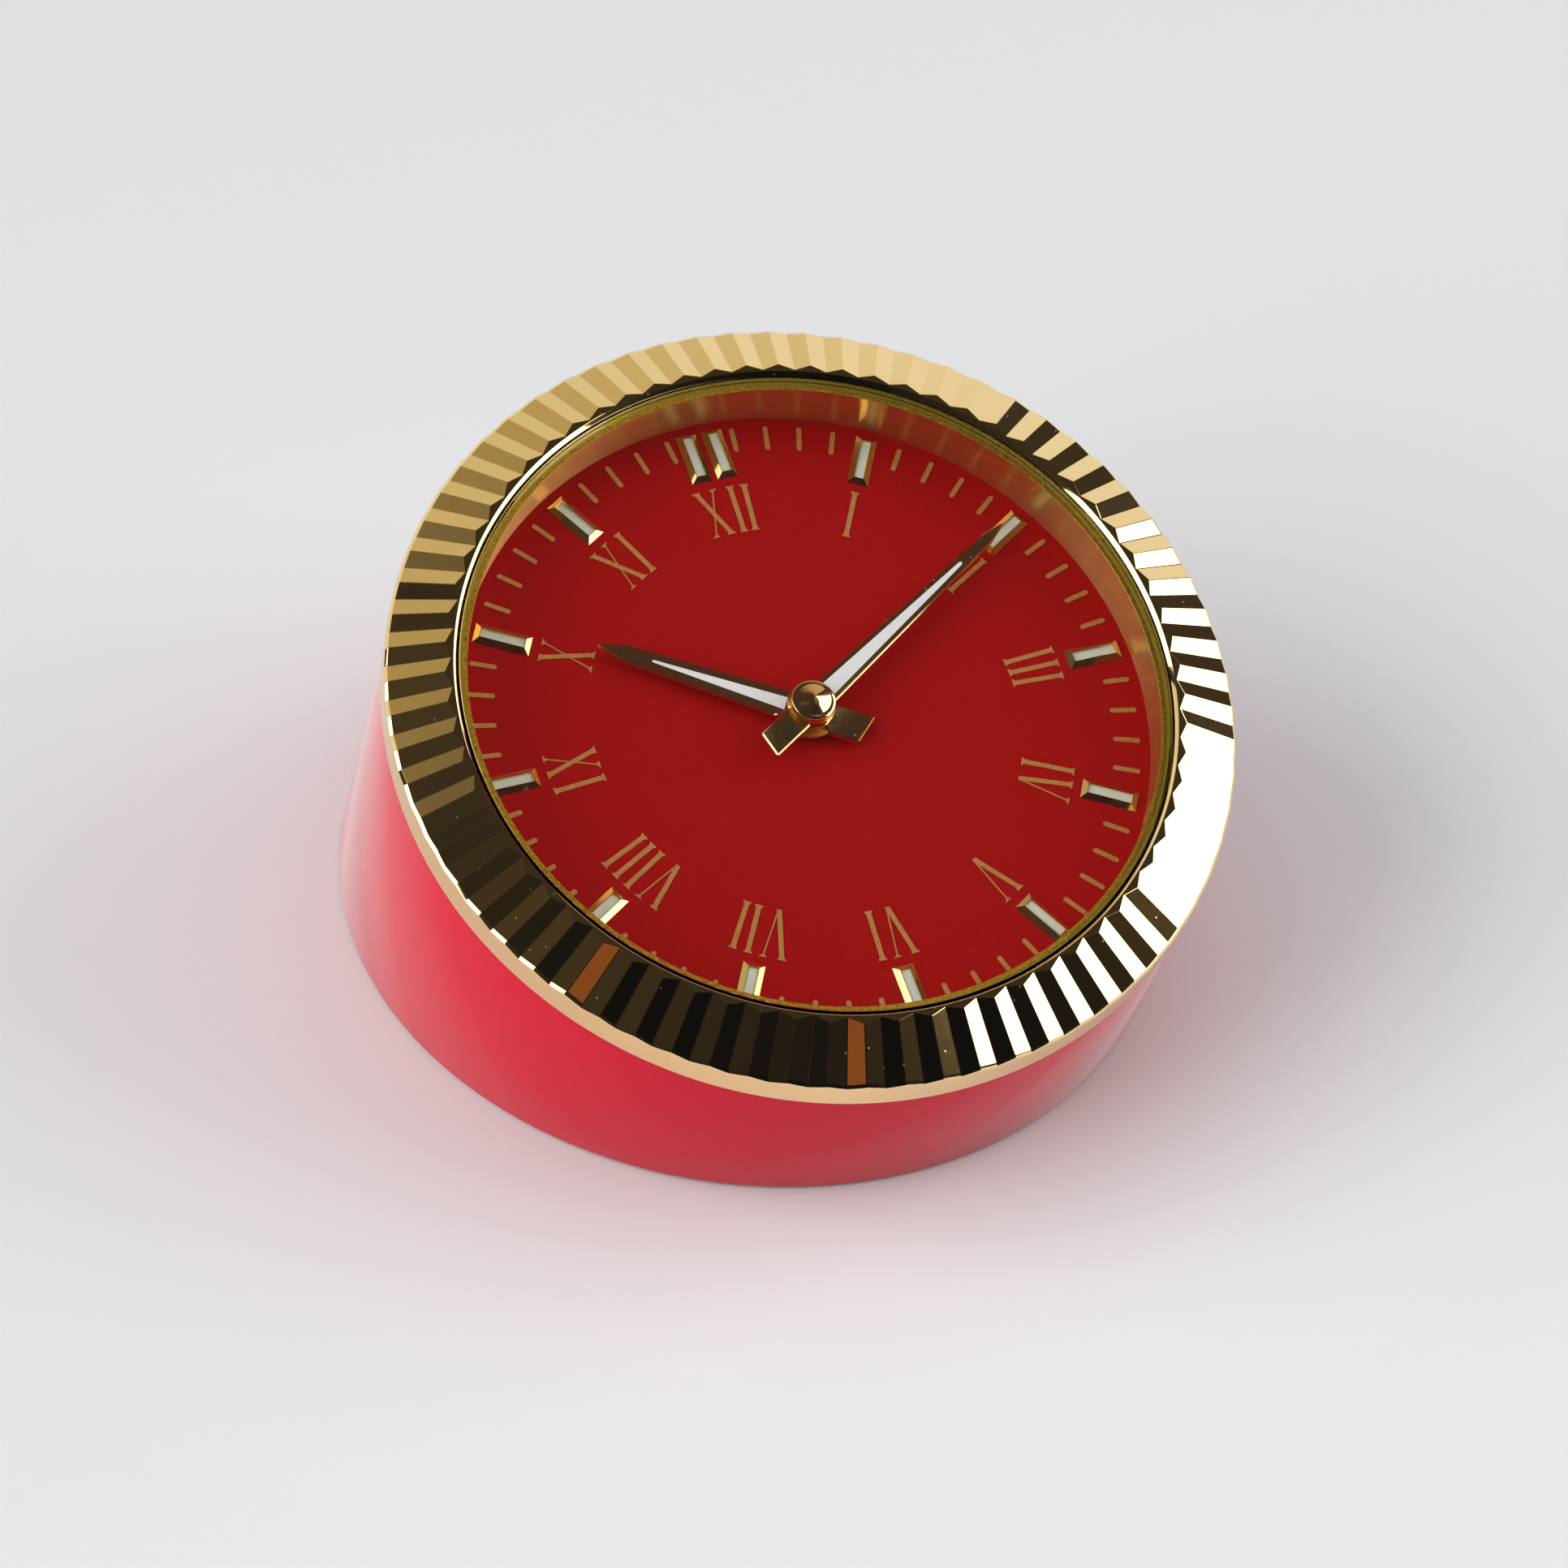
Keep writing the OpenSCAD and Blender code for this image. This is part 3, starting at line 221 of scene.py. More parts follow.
class Shade:
    """A node material under construction, with short calls for its nodes."""

    def __init__(self, name):
        self.mat = bpy.data.materials.new(name)
        self.mat.use_nodes = True
        self.tree = self.mat.node_tree
        self.bsdf = self.tree.nodes["Principled BSDF"]
        self.coord = None

    def node(self, kind, **values):
        made = self.tree.nodes.new(kind)
        for key, value in values.items():
            setattr(made, key, value)
        return made

    def link(self, out, into):
        self.tree.links.new(out, into)

    def place(self, scale=(1, 1, 1), tilt=0.0):
        """Object coordinates, turned about X by tilt and scaled."""
        if self.coord is None:
            self.coord = self.node("ShaderNodeTexCoord")
        turn = self.node("ShaderNodeMapping", vector_type="POINT")
        turn.inputs["Rotation"].default_value = (tilt, 0, 0)
        turn.inputs["Scale"].default_value = scale
        self.link(self.coord.outputs["Object"], turn.inputs["Vector"])
        return turn.outputs["Vector"]

    def noise(self, vector, scale, detail=3.0, rough=0.5):
        made = self.node("ShaderNodeTexNoise")
        made.inputs["Scale"].default_value = scale
        made.inputs["Detail"].default_value = detail
        made.inputs["Roughness"].default_value = rough
        self.link(vector, made.inputs["Vector"])
        return made.outputs["Fac"]

    def ramp(self, fac, stops):
        made = self.node("ShaderNodeValToRGB")
        el = made.color_ramp.elements
        while len(el) < len(stops):
            el.new(0.5)
        for e, (pos, colour) in zip(el, stops):
            e.position = pos
            e.color = (*colour, 1)
        self.link(fac, made.inputs["Fac"])
        return made.outputs["Color"]

    def span(self, fac, low, high):
        made = self.node("ShaderNodeMapRange")
        made.inputs["To Min"].default_value = low
        made.inputs["To Max"].default_value = high
        self.link(fac, made.inputs["Value"])
        return made.outputs["Result"]

    def bump(self, height, strength, distance):
        made = self.node("ShaderNodeBump")
        made.inputs["Strength"].default_value = strength
        made.inputs["Distance"].default_value = distance
        self.link(height, made.inputs["Height"])
        self.link(made.outputs["Normal"], self.bsdf.inputs["Normal"])


def shades(colour, spread):
    """A darker and a lighter neighbour of a colour."""
    c = np.array(colour[:3])
    return tuple(c * (1 - spread)), tuple(np.minimum(c * (1 + spread), 1))


# Share of the painted sheen, a pale painted reflection, by how flat the view is, from 0 for square on to
# 1 for edge on
PAINTED_SHEEN_SHARES = [(0.68, 0.0), (0.80, 0.055), (0.88, 0.22), (1.0, 0.6)]


def finish(name, colour, metal=0.0, rough=(0.3, 0.4), scale=300.0, spread=0.06, bump=0.1,
           stretch=(1, 1, 1), specular=0.5, painted_sheen=None):
    """A finish whose colour, gloss and relief vary with one noise over the piece. A painted sheen is a
    pale colour mixed into the base colour where the piece is seen at a flat angle, a painted reflection."""
    s = Shade(name)
    where = s.place(stretch, -TILT)
    n = s.noise(where, scale)
    low, high = shades(colour, spread)
    base = s.ramp(n, [(0.3, low), (0.7, high)])
    # Painted reflection: a pale colour is mixed into the base colour where the piece is seen at a flat
    # angle
    if painted_sheen:
        flat = s.node("ShaderNodeLayerWeight")
        share = s.ramp(flat.outputs["Facing"], [(at, (v, v, v)) for at, v in PAINTED_SHEEN_SHARES])
        over = s.node("ShaderNodeMix", data_type="RGBA")
        s.link(share, over.inputs[0])
        s.link(base, over.inputs[6])
        over.inputs[7].default_value = (*painted_sheen, 1)
        base = over.outputs[2]
    s.link(base, s.bsdf.inputs["Base Color"])
    s.link(s.span(n, *rough), s.bsdf.inputs["Roughness"])
    s.bsdf.inputs["Metallic"].default_value = metal
    s.bsdf.inputs["Specular IOR Level"].default_value = specular
    if bump:
        s.bump(n, bump, 0.00005)
    return s.mat


def polished_gold(name, colour, rough=(0.03, 0.07)):
    """Mirror-polished gold plate: faint long waves, hairline marks and a few dust specks."""
    s = Shade(name)
    where = s.place((1, 1, 1))
    broad = s.noise(where, 90.0, 2.0)
    low, high = shades(colour, 0.02)
    specks = s.node("ShaderNodeTexVoronoi")
    specks.inputs["Scale"].default_value = 520.0
    s.link(where, specks.inputs["Vector"])
    near = s.node("ShaderNodeMath", operation="LESS_THAN")
    near.inputs[1].default_value = 0.06
    s.link(specks.outputs["Distance"], near.inputs[0])
    base = s.ramp(broad, [(0.3, low), (0.7, high)])
    s.link(base, s.bsdf.inputs["Base Color"])
    fine = s.noise(where, 1500.0, 2.0)
    worn = s.node("ShaderNodeMath", operation="MULTIPLY_ADD")
    worn.inputs[1].default_value = 0.25
    s.link(near.outputs["Value"], worn.inputs[0])
    s.link(s.span(fine, *rough), worn.inputs[2])
    s.link(worn.outputs["Value"], s.bsdf.inputs["Roughness"])
    s.bsdf.inputs["Metallic"].default_value = 1.0
    s.bump(broad, 0.02, 0.00005)
    return s.mat


def brushed_gold(name, colour, rough=(0.27, 0.33)):
    """Gold brushed round the dial: fine lines along the ring, and a gloss that is spread along the
    dial's axis, across those lines."""
    s = Shade(name)
    where = s.place((40, 40, 900), -TILT)
    lines = s.noise(where, 3.0, 3.0, 0.5)
    low, high = shades(colour, 0.05)
    s.link(s.ramp(lines, [(0.3, low), (0.7, high)]), s.bsdf.inputs["Base Color"])
    s.link(s.span(lines, *rough), s.bsdf.inputs["Roughness"])
    s.bsdf.inputs["Metallic"].default_value = 1.0
    s.bsdf.inputs["Anisotropic"].default_value = 1.0
    axis = s.node("ShaderNodeCombineXYZ")
    axis.inputs["Y"].default_value = -math.sin(TILT)
    axis.inputs["Z"].default_value = math.cos(TILT)
    s.link(axis.outputs["Vector"], s.bsdf.inputs["Tangent"])
    s.bump(lines, 0.02, 0.00002)
    return s.mat


def glass(name):
    """Clear glass that lets light and shadow rays straight through, so that the dial stays lit."""
    s = Shade(name)
    s.bsdf.inputs["Base Color"].default_value = (1, 1, 1, 1)
    s.bsdf.inputs["Transmission Weight"].default_value = 1.0
    s.bsdf.inputs["IOR"].default_value = 1.5
    n = s.noise(s.place(), 260.0)
    s.link(s.span(n, 0.0, 0.012), s.bsdf.inputs["Roughness"])
    path = s.node("ShaderNodeLightPath")
    soft = s.node("ShaderNodeMath", operation="MAXIMUM")
    s.link(path.outputs["Is Shadow Ray"], soft.inputs[0])
    s.link(path.outputs["Is Diffuse Ray"], soft.inputs[1])
    through = s.node("ShaderNodeBsdfTransparent")
    mix = s.node("ShaderNodeMixShader")
    s.link(soft.outputs["Value"], mix.inputs["Fac"])
    s.link(s.bsdf.outputs["BSDF"], mix.inputs[1])
    s.link(through.outputs["BSDF"], mix.inputs[2])
    s.link(mix.outputs["Shader"], s.tree.nodes["Material Output"].inputs["Surface"])
    return s.mat


def coat_with(piece, *materials):
    """Gives a piece these materials, the first one on every face."""
    piece.data.materials.clear()
    for m in materials:
        piece.data.materials.append(m)


def second_on(piece, *parts):
    """Puts the piece's second material on some of its faces, given as slices of their order."""
    index = np.zeros(len(piece.data.polygons), np.int32)
    for part in parts:
        index[part] = 1
    piece.data.polygons.foreach_set("material_index", index)


# Sizes and colours

class ClockSizes(bpy.types.PropertyGroup):
    bezel_r: FloatProperty(name="Bezel radius", description="Outer radius of the gold bezel, in mm",
                           default=46.0, min=44.0, max=48.0)
    flutes: IntProperty(name="Flutes", description="Number of grooves round the bezel",
                        default=70, min=40, max=100)
    land_z: FloatProperty(name="Land height", description="Flat inner land above the dial, in mm",
                          default=8.26, min=8.0, max=8.6)
    groove_fall: FloatProperty(name="Groove fall", description="Fall of a groove towards the rim",
                               default=math.radians(23.9), subtype="ANGLE")
    groove_rise: FloatProperty(name="Groove rise", description="Rise of a groove's side per mm across",
                               default=0.1626, min=0.1, max=0.3)
    drum_r: FloatProperty(name="Drum radius", description="Outer radius of the red drum, in mm",
                          default=45.7, min=44.0, max=46.0)
    hour_angle: FloatProperty(name="Hour hand", description="Clockwise from twelve",
                              default=math.radians(303.85), subtype="ANGLE")
    minute_angle: FloatProperty(name="Minute hand", description="Clockwise from twelve",
                                default=math.radians(59.8), subtype="ANGLE")


class ClockColours(bpy.types.PropertyGroup):
    gold: FloatVectorProperty(name="Polished gold", description="Bezel, hands and hour marks",
                              default=(0.95, 0.70, 0.34), subtype="COLOR", min=0, max=1)
    warm_gold: FloatVectorProperty(name="Brushed gold", description="Ring between glass and dial",
                                   default=(0.90, 0.56, 0.20), subtype="COLOR", min=0, max=1)
    red: FloatVectorProperty(name="Drum red", description="Satin lacquer of the drum",
                             default=(0.62, 0.005, 0.028), subtype="COLOR", min=0, max=1)
    dial_red: FloatVectorProperty(name="Dial red", description="Lacquer of the dial",
                                  default=(0.36, 0.003, 0.003), subtype="COLOR", min=0, max=1)
    floor: FloatVectorProperty(name="Floor", description="Pale studio floor",
                               default=(0.86, 0.87, 0.89), subtype="COLOR", min=0, max=1)


def sizes():
    return bpy.context.scene.clock_sizes


def colours():
    return bpy.context.scene.clock_colours


def body_of(node):
    return frame["nodes"][node]["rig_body"]


# Shapes of the pieces

def rounded_wave(f, w):
    """|f| between -1 and 1 with its sharp ends at 0 and 1 rounded: (f^2 + w^2) / 2w inside w of them."""
    f = np.abs(f)
    low = (f * f + w * w) / (2 * w)
    high = 1 - ((1 - f) ** 2 + w * w) / (2 * w)
    return np.where(f < w, low, np.where(f > 1 - w, high, f))


def corner(a, b, c, steps):
    """Points of a quadratic curve from a to c that rounds the corner b, by
    (1-t)^2 a + 2t(1-t) b + t^2 c for t from 0 to 1."""
    return [tuple((1 - t) ** 2 * u + 2 * t * (1 - t) * v + t * t * w for u, v, w in zip(a, b, c))
            for t in np.linspace(0, 1, steps)]


def bezel_points(p):
    """The fluted bezel as a grid of columns round the axis and rows along a closed profile.
    Each groove side is a plane: z falls from the land by tan(fall) per mm along the valley's direction
    and rises by the side slope per mm away from it. It starts on the land where that plane is level with
    it. A narrow band before the rim falls faster, as a polished edge. Ridges, valleys and both ends are
    rounded."""
    half = math.pi / p.flutes
    share = np.array([0, 0.02, 0.04, 0.06, 0.5, 0.94, 0.96, 0.98])
    share = np.concatenate([share, [1.0], -share[:0:-1]])
    angle = (math.pi / 2 + np.arange(p.flutes)[:, None] * 2 * half
             + np.where(share < 0, share + 2, share)[None, :] * half).reshape(-1)
    phi = np.tile(np.abs(share) * half, p.flutes)
    lifted = np.tile(rounded_wave(share, 0.04) * half, p.flutes)
    n = len(angle)
    fall, rise = math.tan(p.groove_fall), p.groove_rise
    r_in = FLUTE_START_R * fall / (fall * np.cos(phi) - rise * np.sin(lifted))
    r_edge, r_out = p.bezel_r - EDGE_W, p.bezel_r

    def plane(r):
        side = p.land_z - fall * (r * np.cos(phi) - FLUTE_START_R) + rise * r * np.sin(lifted)
        return side - EDGE_FALL * np.maximum(r - r_edge, 0)

    soft = 0.07
    rows = [(p.drum_r - CASE_WALL - 0.1, CASE_TOP), (BORE_R, CASE_TOP), (BORE_R, CHAMFER_LOW - 0.35)]
    rows += corner((BORE_R, CHAMFER_LOW - 0.04), (BORE_R, CHAMFER_LOW),
                   (BORE_R + 0.027, CHAMFER_LOW + 0.03), 3)
    rows += corner((CHAMFER_R - 0.04, p.land_z - 0.043), (CHAMFER_R, p.land_z),
                   (CHAMFER_R + 0.06, p.land_z), 4)
    rows.append((r_in - 1.5 * soft, p.land_z))
    rows += corner((r_in - soft, p.land_z), (r_in, p.land_z), (r_in + soft, plane(r_in + soft)), 4)
    rows.append((r_in + 1.5 * soft, plane(r_in + 1.5 * soft)))
    rows.append((r_edge - 1.5 * soft, plane(r_edge - 1.5 * soft)))
    rows += corner((r_edge - soft, plane(r_edge - soft)), (r_edge, plane(r_edge)),
                   (r_edge + soft, plane(r_edge + soft)), 4)
    rows.append((r_out - 1.5 * soft, plane(r_out - 1.5 * soft)))
    rows += corner((r_out - soft, plane(r_out - soft)), (r_out, plane(r_out)),
                   (r_out, plane(r_out) - soft), 5)
    rows.append((r_out, plane(r_out) - 1.5 * soft))
    rows += [(r_out - back, CASE_TOP + up)
             for back, up in ((0, 0.32), (0.04, 0.15), (0.14, 0.04), (0.3, 0))]
    r = np.stack([np.zeros(n) + x[0] for x in rows], 1)
    z = np.stack([np.zeros(n) + x[1] for x in rows], 1)
    pts = np.stack([r * np.cos(angle)[:, None], r * np.sin(angle)[:, None], z], -1)
    return pts.reshape(-1, 3), ring_faces(n, r.shape[1], True)


def drum_points(p):
    """The drum: a tube about the dial's axis whose lower rows lie on the table plane, where
    z = -(dial height) - r sin(a) tan(tilt), with a flange inside near the dial."""
    n = DRUM_STEPS
    a = np.arange(n) * 2 * math.pi / n
    r0, r1 = p.drum_r - CASE_WALL, p.drum_r
    flat = [(FLANGE_R, FLANGE_LOW), (FLANGE_R, FLANGE_TOP), (r0, FLANGE_TOP), (r0, CASE_TOP),
            (r1 - 0.1, CASE_TOP), (r1, CASE_TOP - 0.1)]

    def cut(r, lift):
        return -DIAL_HEIGHT - r * np.sin(a) * math.tan(TILT) + lift

    rows = [(np.full(n, r), np.full(n, z)) for r, z in flat]
    rows += [(np.full(n, r1), cut(r1, 0.25)), (np.full(n, r1 - 0.06), cut(r1, 0.08)),
             (np.full(n, r1 - 0.2), cut(r1 - 0.2, 0.0)), (np.full(n, r0), cut(r0, 0.0)),
             (np.full(n, r0), np.full(n, FLANGE_LOW))]
    r = np.stack([x[0] for x in rows], 1)
    z = np.stack([x[1] for x in rows], 1)
    pts = np.stack([r * np.cos(a)[:, None], r * np.sin(a)[:, None], z], -1)
    return pts.reshape(-1, 3), ring_faces(n, r.shape[1], True)


class Piece(bpy.types.Operator):
    """What the clock's operators share: each one makes its piece from the scene's sizes and colours"""
    bl_options = {"REGISTER"}

    def execute(self, context):
        self.make(sizes(), colours())
        return {"FINISHED"}


class CLOCK_OT_drum(Piece):
    """Red drum cut by the table"""
    bl_idname = "clock.drum"
    bl_label = "Drum"

    def make(self, p, c):
        pts, faces = drum_points(p)
        piece = new_piece("drum", to_row(pts), faces, body_of("case_body"), 30, ["case_body"])
        # The drum's pale edges at flat view angles are painted reflection, given through its painted
        # sheen
        coat_with(piece, finish("red lacquer", c.red, rough=(0.18, 0.22), scale=900, spread=0.015,
                                bump=0.03, specular=0.07, painted_sheen=(0.86, 0.80, 0.78)))


class CLOCK_OT_bezel(Piece):
    """Fluted gold bezel"""
    bl_idname = "clock.bezel"
    bl_label = "Bezel"

    def make(self, p, c):
        pts, faces = bezel_points(p)
        piece = new_piece("fluted_bezel", to_row(pts), faces, body_of("bezel"), 13, ["bezel"])
        coat_with(piece, polished_gold("polished gold", c.gold))


class CLOCK_OT_glass(Piece):
    """Flat glass and the thin ring it is seated on"""
    bl_idname = "clock.glass"
    bl_label = "Glass"

    def make(self, p, c):
        z0, z1, r, e = GLASS_LOW, GLASS_TOP, GLASS_R, GLASS_EDGE
        prof = [(0, z0), (r - e, z0), (r, z0 + e), (r, z1 - e), (r - e, z1), (0, z1)]
        pts, faces = turned(prof, RING_STEPS)
        piece = new_piece("flat_glass", to_row(pts), faces, body_of("crystal"), 20, ["crystal"])
        coat_with(piece, glass("clear glass"))
        r0, r1, z1, e = SEAL_R0, SEAL_R1, RING_TOP, SEAL_EDGE
        prof = [(r0, SEAL_LOW), (r1, SEAL_LOW), (r1, z1 - e), (r1 - e, z1), (r0 + e, z1), (r0, z1 - e)]
        pts, faces = turned(prof, RING_STEPS)
        piece = new_piece("glass_seat", to_row(pts), faces, body_of("crystal_gasket"), 30,
                          ["crystal_gasket"])
        coat_with(piece, finish("olive seal", (0.48, 0.35, 0.04), metal=0.7, rough=(0.35, 0.45),
                                scale=900))


class CLOCK_OT_dial(Piece):
    """Dial plate and the gold ring round it"""
    bl_idname = "clock.dial"
    bl_label = "Dial"

    def make(self, p, c):
        prof = [(DIAL_HOLE_R, -DIAL_T), (DIAL_R, -DIAL_T), (DIAL_R, 0), (DIAL_HOLE_R, 0)]
        pts, faces = turned(prof, RING_STEPS)
        piece = new_piece("dial_face", to_row(pts), faces, body_of("dial_plate"), 30, ["dial_plate"])
        coat_with(piece, finish("deep red dial", c.dial_red, rough=(0.42, 0.5), scale=1600,
                                spread=0.03, bump=0.03, specular=0.05))
        seat_z = SEAL_LOW - 0.01
        prof = [(RING_FOOT_R, 0.005), (RING_RIM_R, 0.005), (RING_RIM_R, seat_z), (SEAT_R, seat_z),
                (SEAT_R, RING_TOP), (RING_TOP_R + 0.04, RING_TOP), (RING_TOP_R, RING_TOP - 0.04)]
        pts, faces = turned(prof, RING_STEPS)
        piece = new_piece("dial_ring", to_row(pts), faces, body_of("inner_ring"), 30, ["inner_ring"])
        coat_with(piece, brushed_gold("brushed gold", c.warm_gold),
                  finish("grained gold", (0.60, 0.36, 0.035), metal=1.0, rough=(0.35, 0.55), scale=2600,
                         spread=0.3, bump=0.8))
        rows = len(prof)
        second_on(piece, slice(4, None, rows), slice(5, None, rows))


def hand_shape(top, half, tail, blade, hole_r, hub_r):
    """Points and faces of a hand along +Y, and the number of faces that come before its hub's. It is a
    tapering bar joined to a round hub. The tail is cut askew and given by its longer and its shorter
    side, the blade by stations of y, half-width and share of the bevel."""
    longer, shorter = tail
    end, askew = -(longer + shorter) / 2, -(longer - shorter) / 2 / half
    stations = [(end, half, 0), (end + HAND_BEVEL, half, 1)] + blade
    flat = bar(stations, top, HAND_T, HAND_BEVEL, lambda y: askew if y < -1 else 0)
    low, mid = top - HAND_T, top - HAND_BEVEL
    hub = turned([(hole_r, low), (hub_r, low), (hub_r, mid), (hub_r - HAND_BEVEL, top), (hole_r, top)],
                 HUB_STEPS)
    pts, faces = joined([flat, hub])
    return pts, faces, len(flat[1])


class CLOCK_OT_hands(Piece):
    """Hour hand, minute hand and the cap over them"""
    bl_idname = "clock.hands"
    bl_label = "Hands"

    def make(self, p, c):
        gold = polished_gold("hand gold", c.gold, (0.04, 0.09))
        # Gold of the hour hand's hub and the cap's wall: the satin roughness is the real finish, while
        # the orange tint is painted reflection of the red dial
        satin_painted_reflection = finish("satin gold with painted reflection", (0.93, 0.50, 0.07), metal=1.0, rough=(0.26, 0.34), scale=900,
                       spread=0.04, bump=0.05)
        hour = math.degrees(p.hour_angle)
        minute = math.degrees(p.minute_angle)
        blade = [(0, 1.83, 1), (20.8, 1.05, 1), (23.2, 0.2, 1), (23.7, 0.02, 0)]
        pts, faces, before_hub = hand_shape(HOUR_TOP, 1.83, (6.93, 5.98), blade, 2.12, 3.1)
        piece = new_piece("hour_blade", to_row(spun(pts, hour)), faces, body_of("hour_hand"), 20,
                          ["hour_hand"])
        coat_with(piece, gold, satin_painted_reflection)
        second_on(piece, slice(before_hub, None))

        blade = [(2.4, 1.5, 1), (30.3, 0.65, 1), (32.5, 0.2, 1), (32.95, 0.02, 0)]
        pts, faces, _ = hand_shape(MINUTE_TOP, 1.5, (7.44, 6.62), blade, 1.72, 2.6)
        piece = new_piece("minute_blade", to_row(spun(pts, minute)), faces, body_of("minute_hand"), 20,
                          ["minute_hand"])
        coat_with(piece, gold)

        z0, r = CAP_LOW, CAP_R
        prof = [(0, z0), (r - 0.04, z0), (r, z0 + 0.04)]
        prof += corner((r, z0 + 0.92), (r - 0.04, z0 + 1.06), (r - 0.55, z0 + 1.09), 8)
        prof += [(1.8, z0 + 1.106), (1.2, z0 + 1.303), (0.05, z0 + 1.681), (0, z0 + 1.685)]
        pts, faces = turned(prof, CAP_STEPS)
        piece = new_piece("cap", to_row(pts), faces, body_of("hub_cap"), 25, ["hub_cap"])
        # The cap's wall takes the satin gold whose orange tint is painted reflection
        coat_with(piece, polished_gold("cap gold", c.gold, (0.02, 0.05)), satin_painted_reflection)
        rows = len(prof) - 3
        second_on(piece, slice(1, CAP_STEPS * rows, rows))


# Finish, colour, CAD pieces and how the finish varies
CAD_FINISHES = [
    ("printed gold", (0.50, 0.215, 0.045), ["minute_track", "roman_numerals"],
     dict(metal=0.2, rough=(0.4, 0.55), scale=2200, spread=0.15)),
    ("mark gold", (0.98, 0.79, 0.30), ["baton_frames"],
     dict(metal=1.0, rough=(0.04, 0.1), scale=500, spread=0.03, bump=0.02)),
    ("pale inlay", (0.64, 0.66, 0.55), ["baton_inlays"],
     dict(rough=(0.35, 0.5), scale=1500, spread=0.03)),
    ("white inlay", (0.80, 0.78, 0.76), ["hour_hand_inlay", "minute_hand_inlay"],
     dict(rough=(0.4, 0.5), scale=1500, spread=0.02)),
    ("ivory plastic", (0.78, 0.74, 0.64),
     ["dial_carrier", "housing_front", "housing_back", "train_plate", "coil_bobbin"],
     dict(rough=(0.35, 0.5), scale=400, spread=0.03)),
    ("screw steel", (0.62, 0.62, 0.64),
     ["carrier_screws", "housing_screws", "movement_screws", "train_screws", "base_screws",
      "minute_arbor", "stator", "quartz_can"],
     dict(metal=1.0, rough=(0.2, 0.35), scale=900, spread=0.05)),
    ("spring steel", (0.66, 0.64, 0.6), ["positive_contact", "negative_contact"],
     dict(metal=1.0, rough=(0.25, 0.4), scale=600, spread=0.06)),
    ("battery jacket", (0.06, 0.07, 0.09), ["battery"],
     dict(rough=(0.25, 0.4), scale=500, spread=0.1)),
    ("board green", (0.02, 0.14, 0.06), ["circuit_board"],
     dict(rough=(0.3, 0.45), scale=800, spread=0.2)),
    ("black plastic", (0.02, 0.02, 0.02),
     ["ic_chip", "setting_knob", "base_plate", "base_cover", "rotor"],
     dict(rough=(0.4, 0.6), scale=700, spread=0.2)),
    ("copper wire", (0.72, 0.30, 0.14), ["coil_winding"],
     dict(metal=1.0, rough=(0.25, 0.45), scale=40, spread=0.15, stretch=(1, 90, 1), bump=0.5)),
    ("foot rubber", (0.03, 0.03, 0.03), ["foot_ring"],
     dict(rough=(0.6, 0.8), scale=1200, spread=0.2, bump=0.3)),
    ("wheel brass", (0.75, 0.56, 0.24), ["hour_wheel", "minute_wheel", "centre_wheel", "third_wheel"],
     dict(metal=1.0, rough=(0.2, 0.35), scale=700, spread=0.05)),
    ("white plastic", (0.8, 0.8, 0.8), ["second_wheel"],
     dict(rough=(0.35, 0.5), scale=600, spread=0.03)),
]


class CLOCK_OT_details(Piece):
    """Finishes of the dial's marks and of the pieces inside the drum"""
    bl_idname = "clock.details"
    bl_label = "Marks and inner pieces"

    def make(self, p, c):
        for name, colour, nodes, more in CAD_FINISHES:
            made = finish(name, colour, **more)
            for node in nodes:
                coat_with(frame["nodes"][node], made)


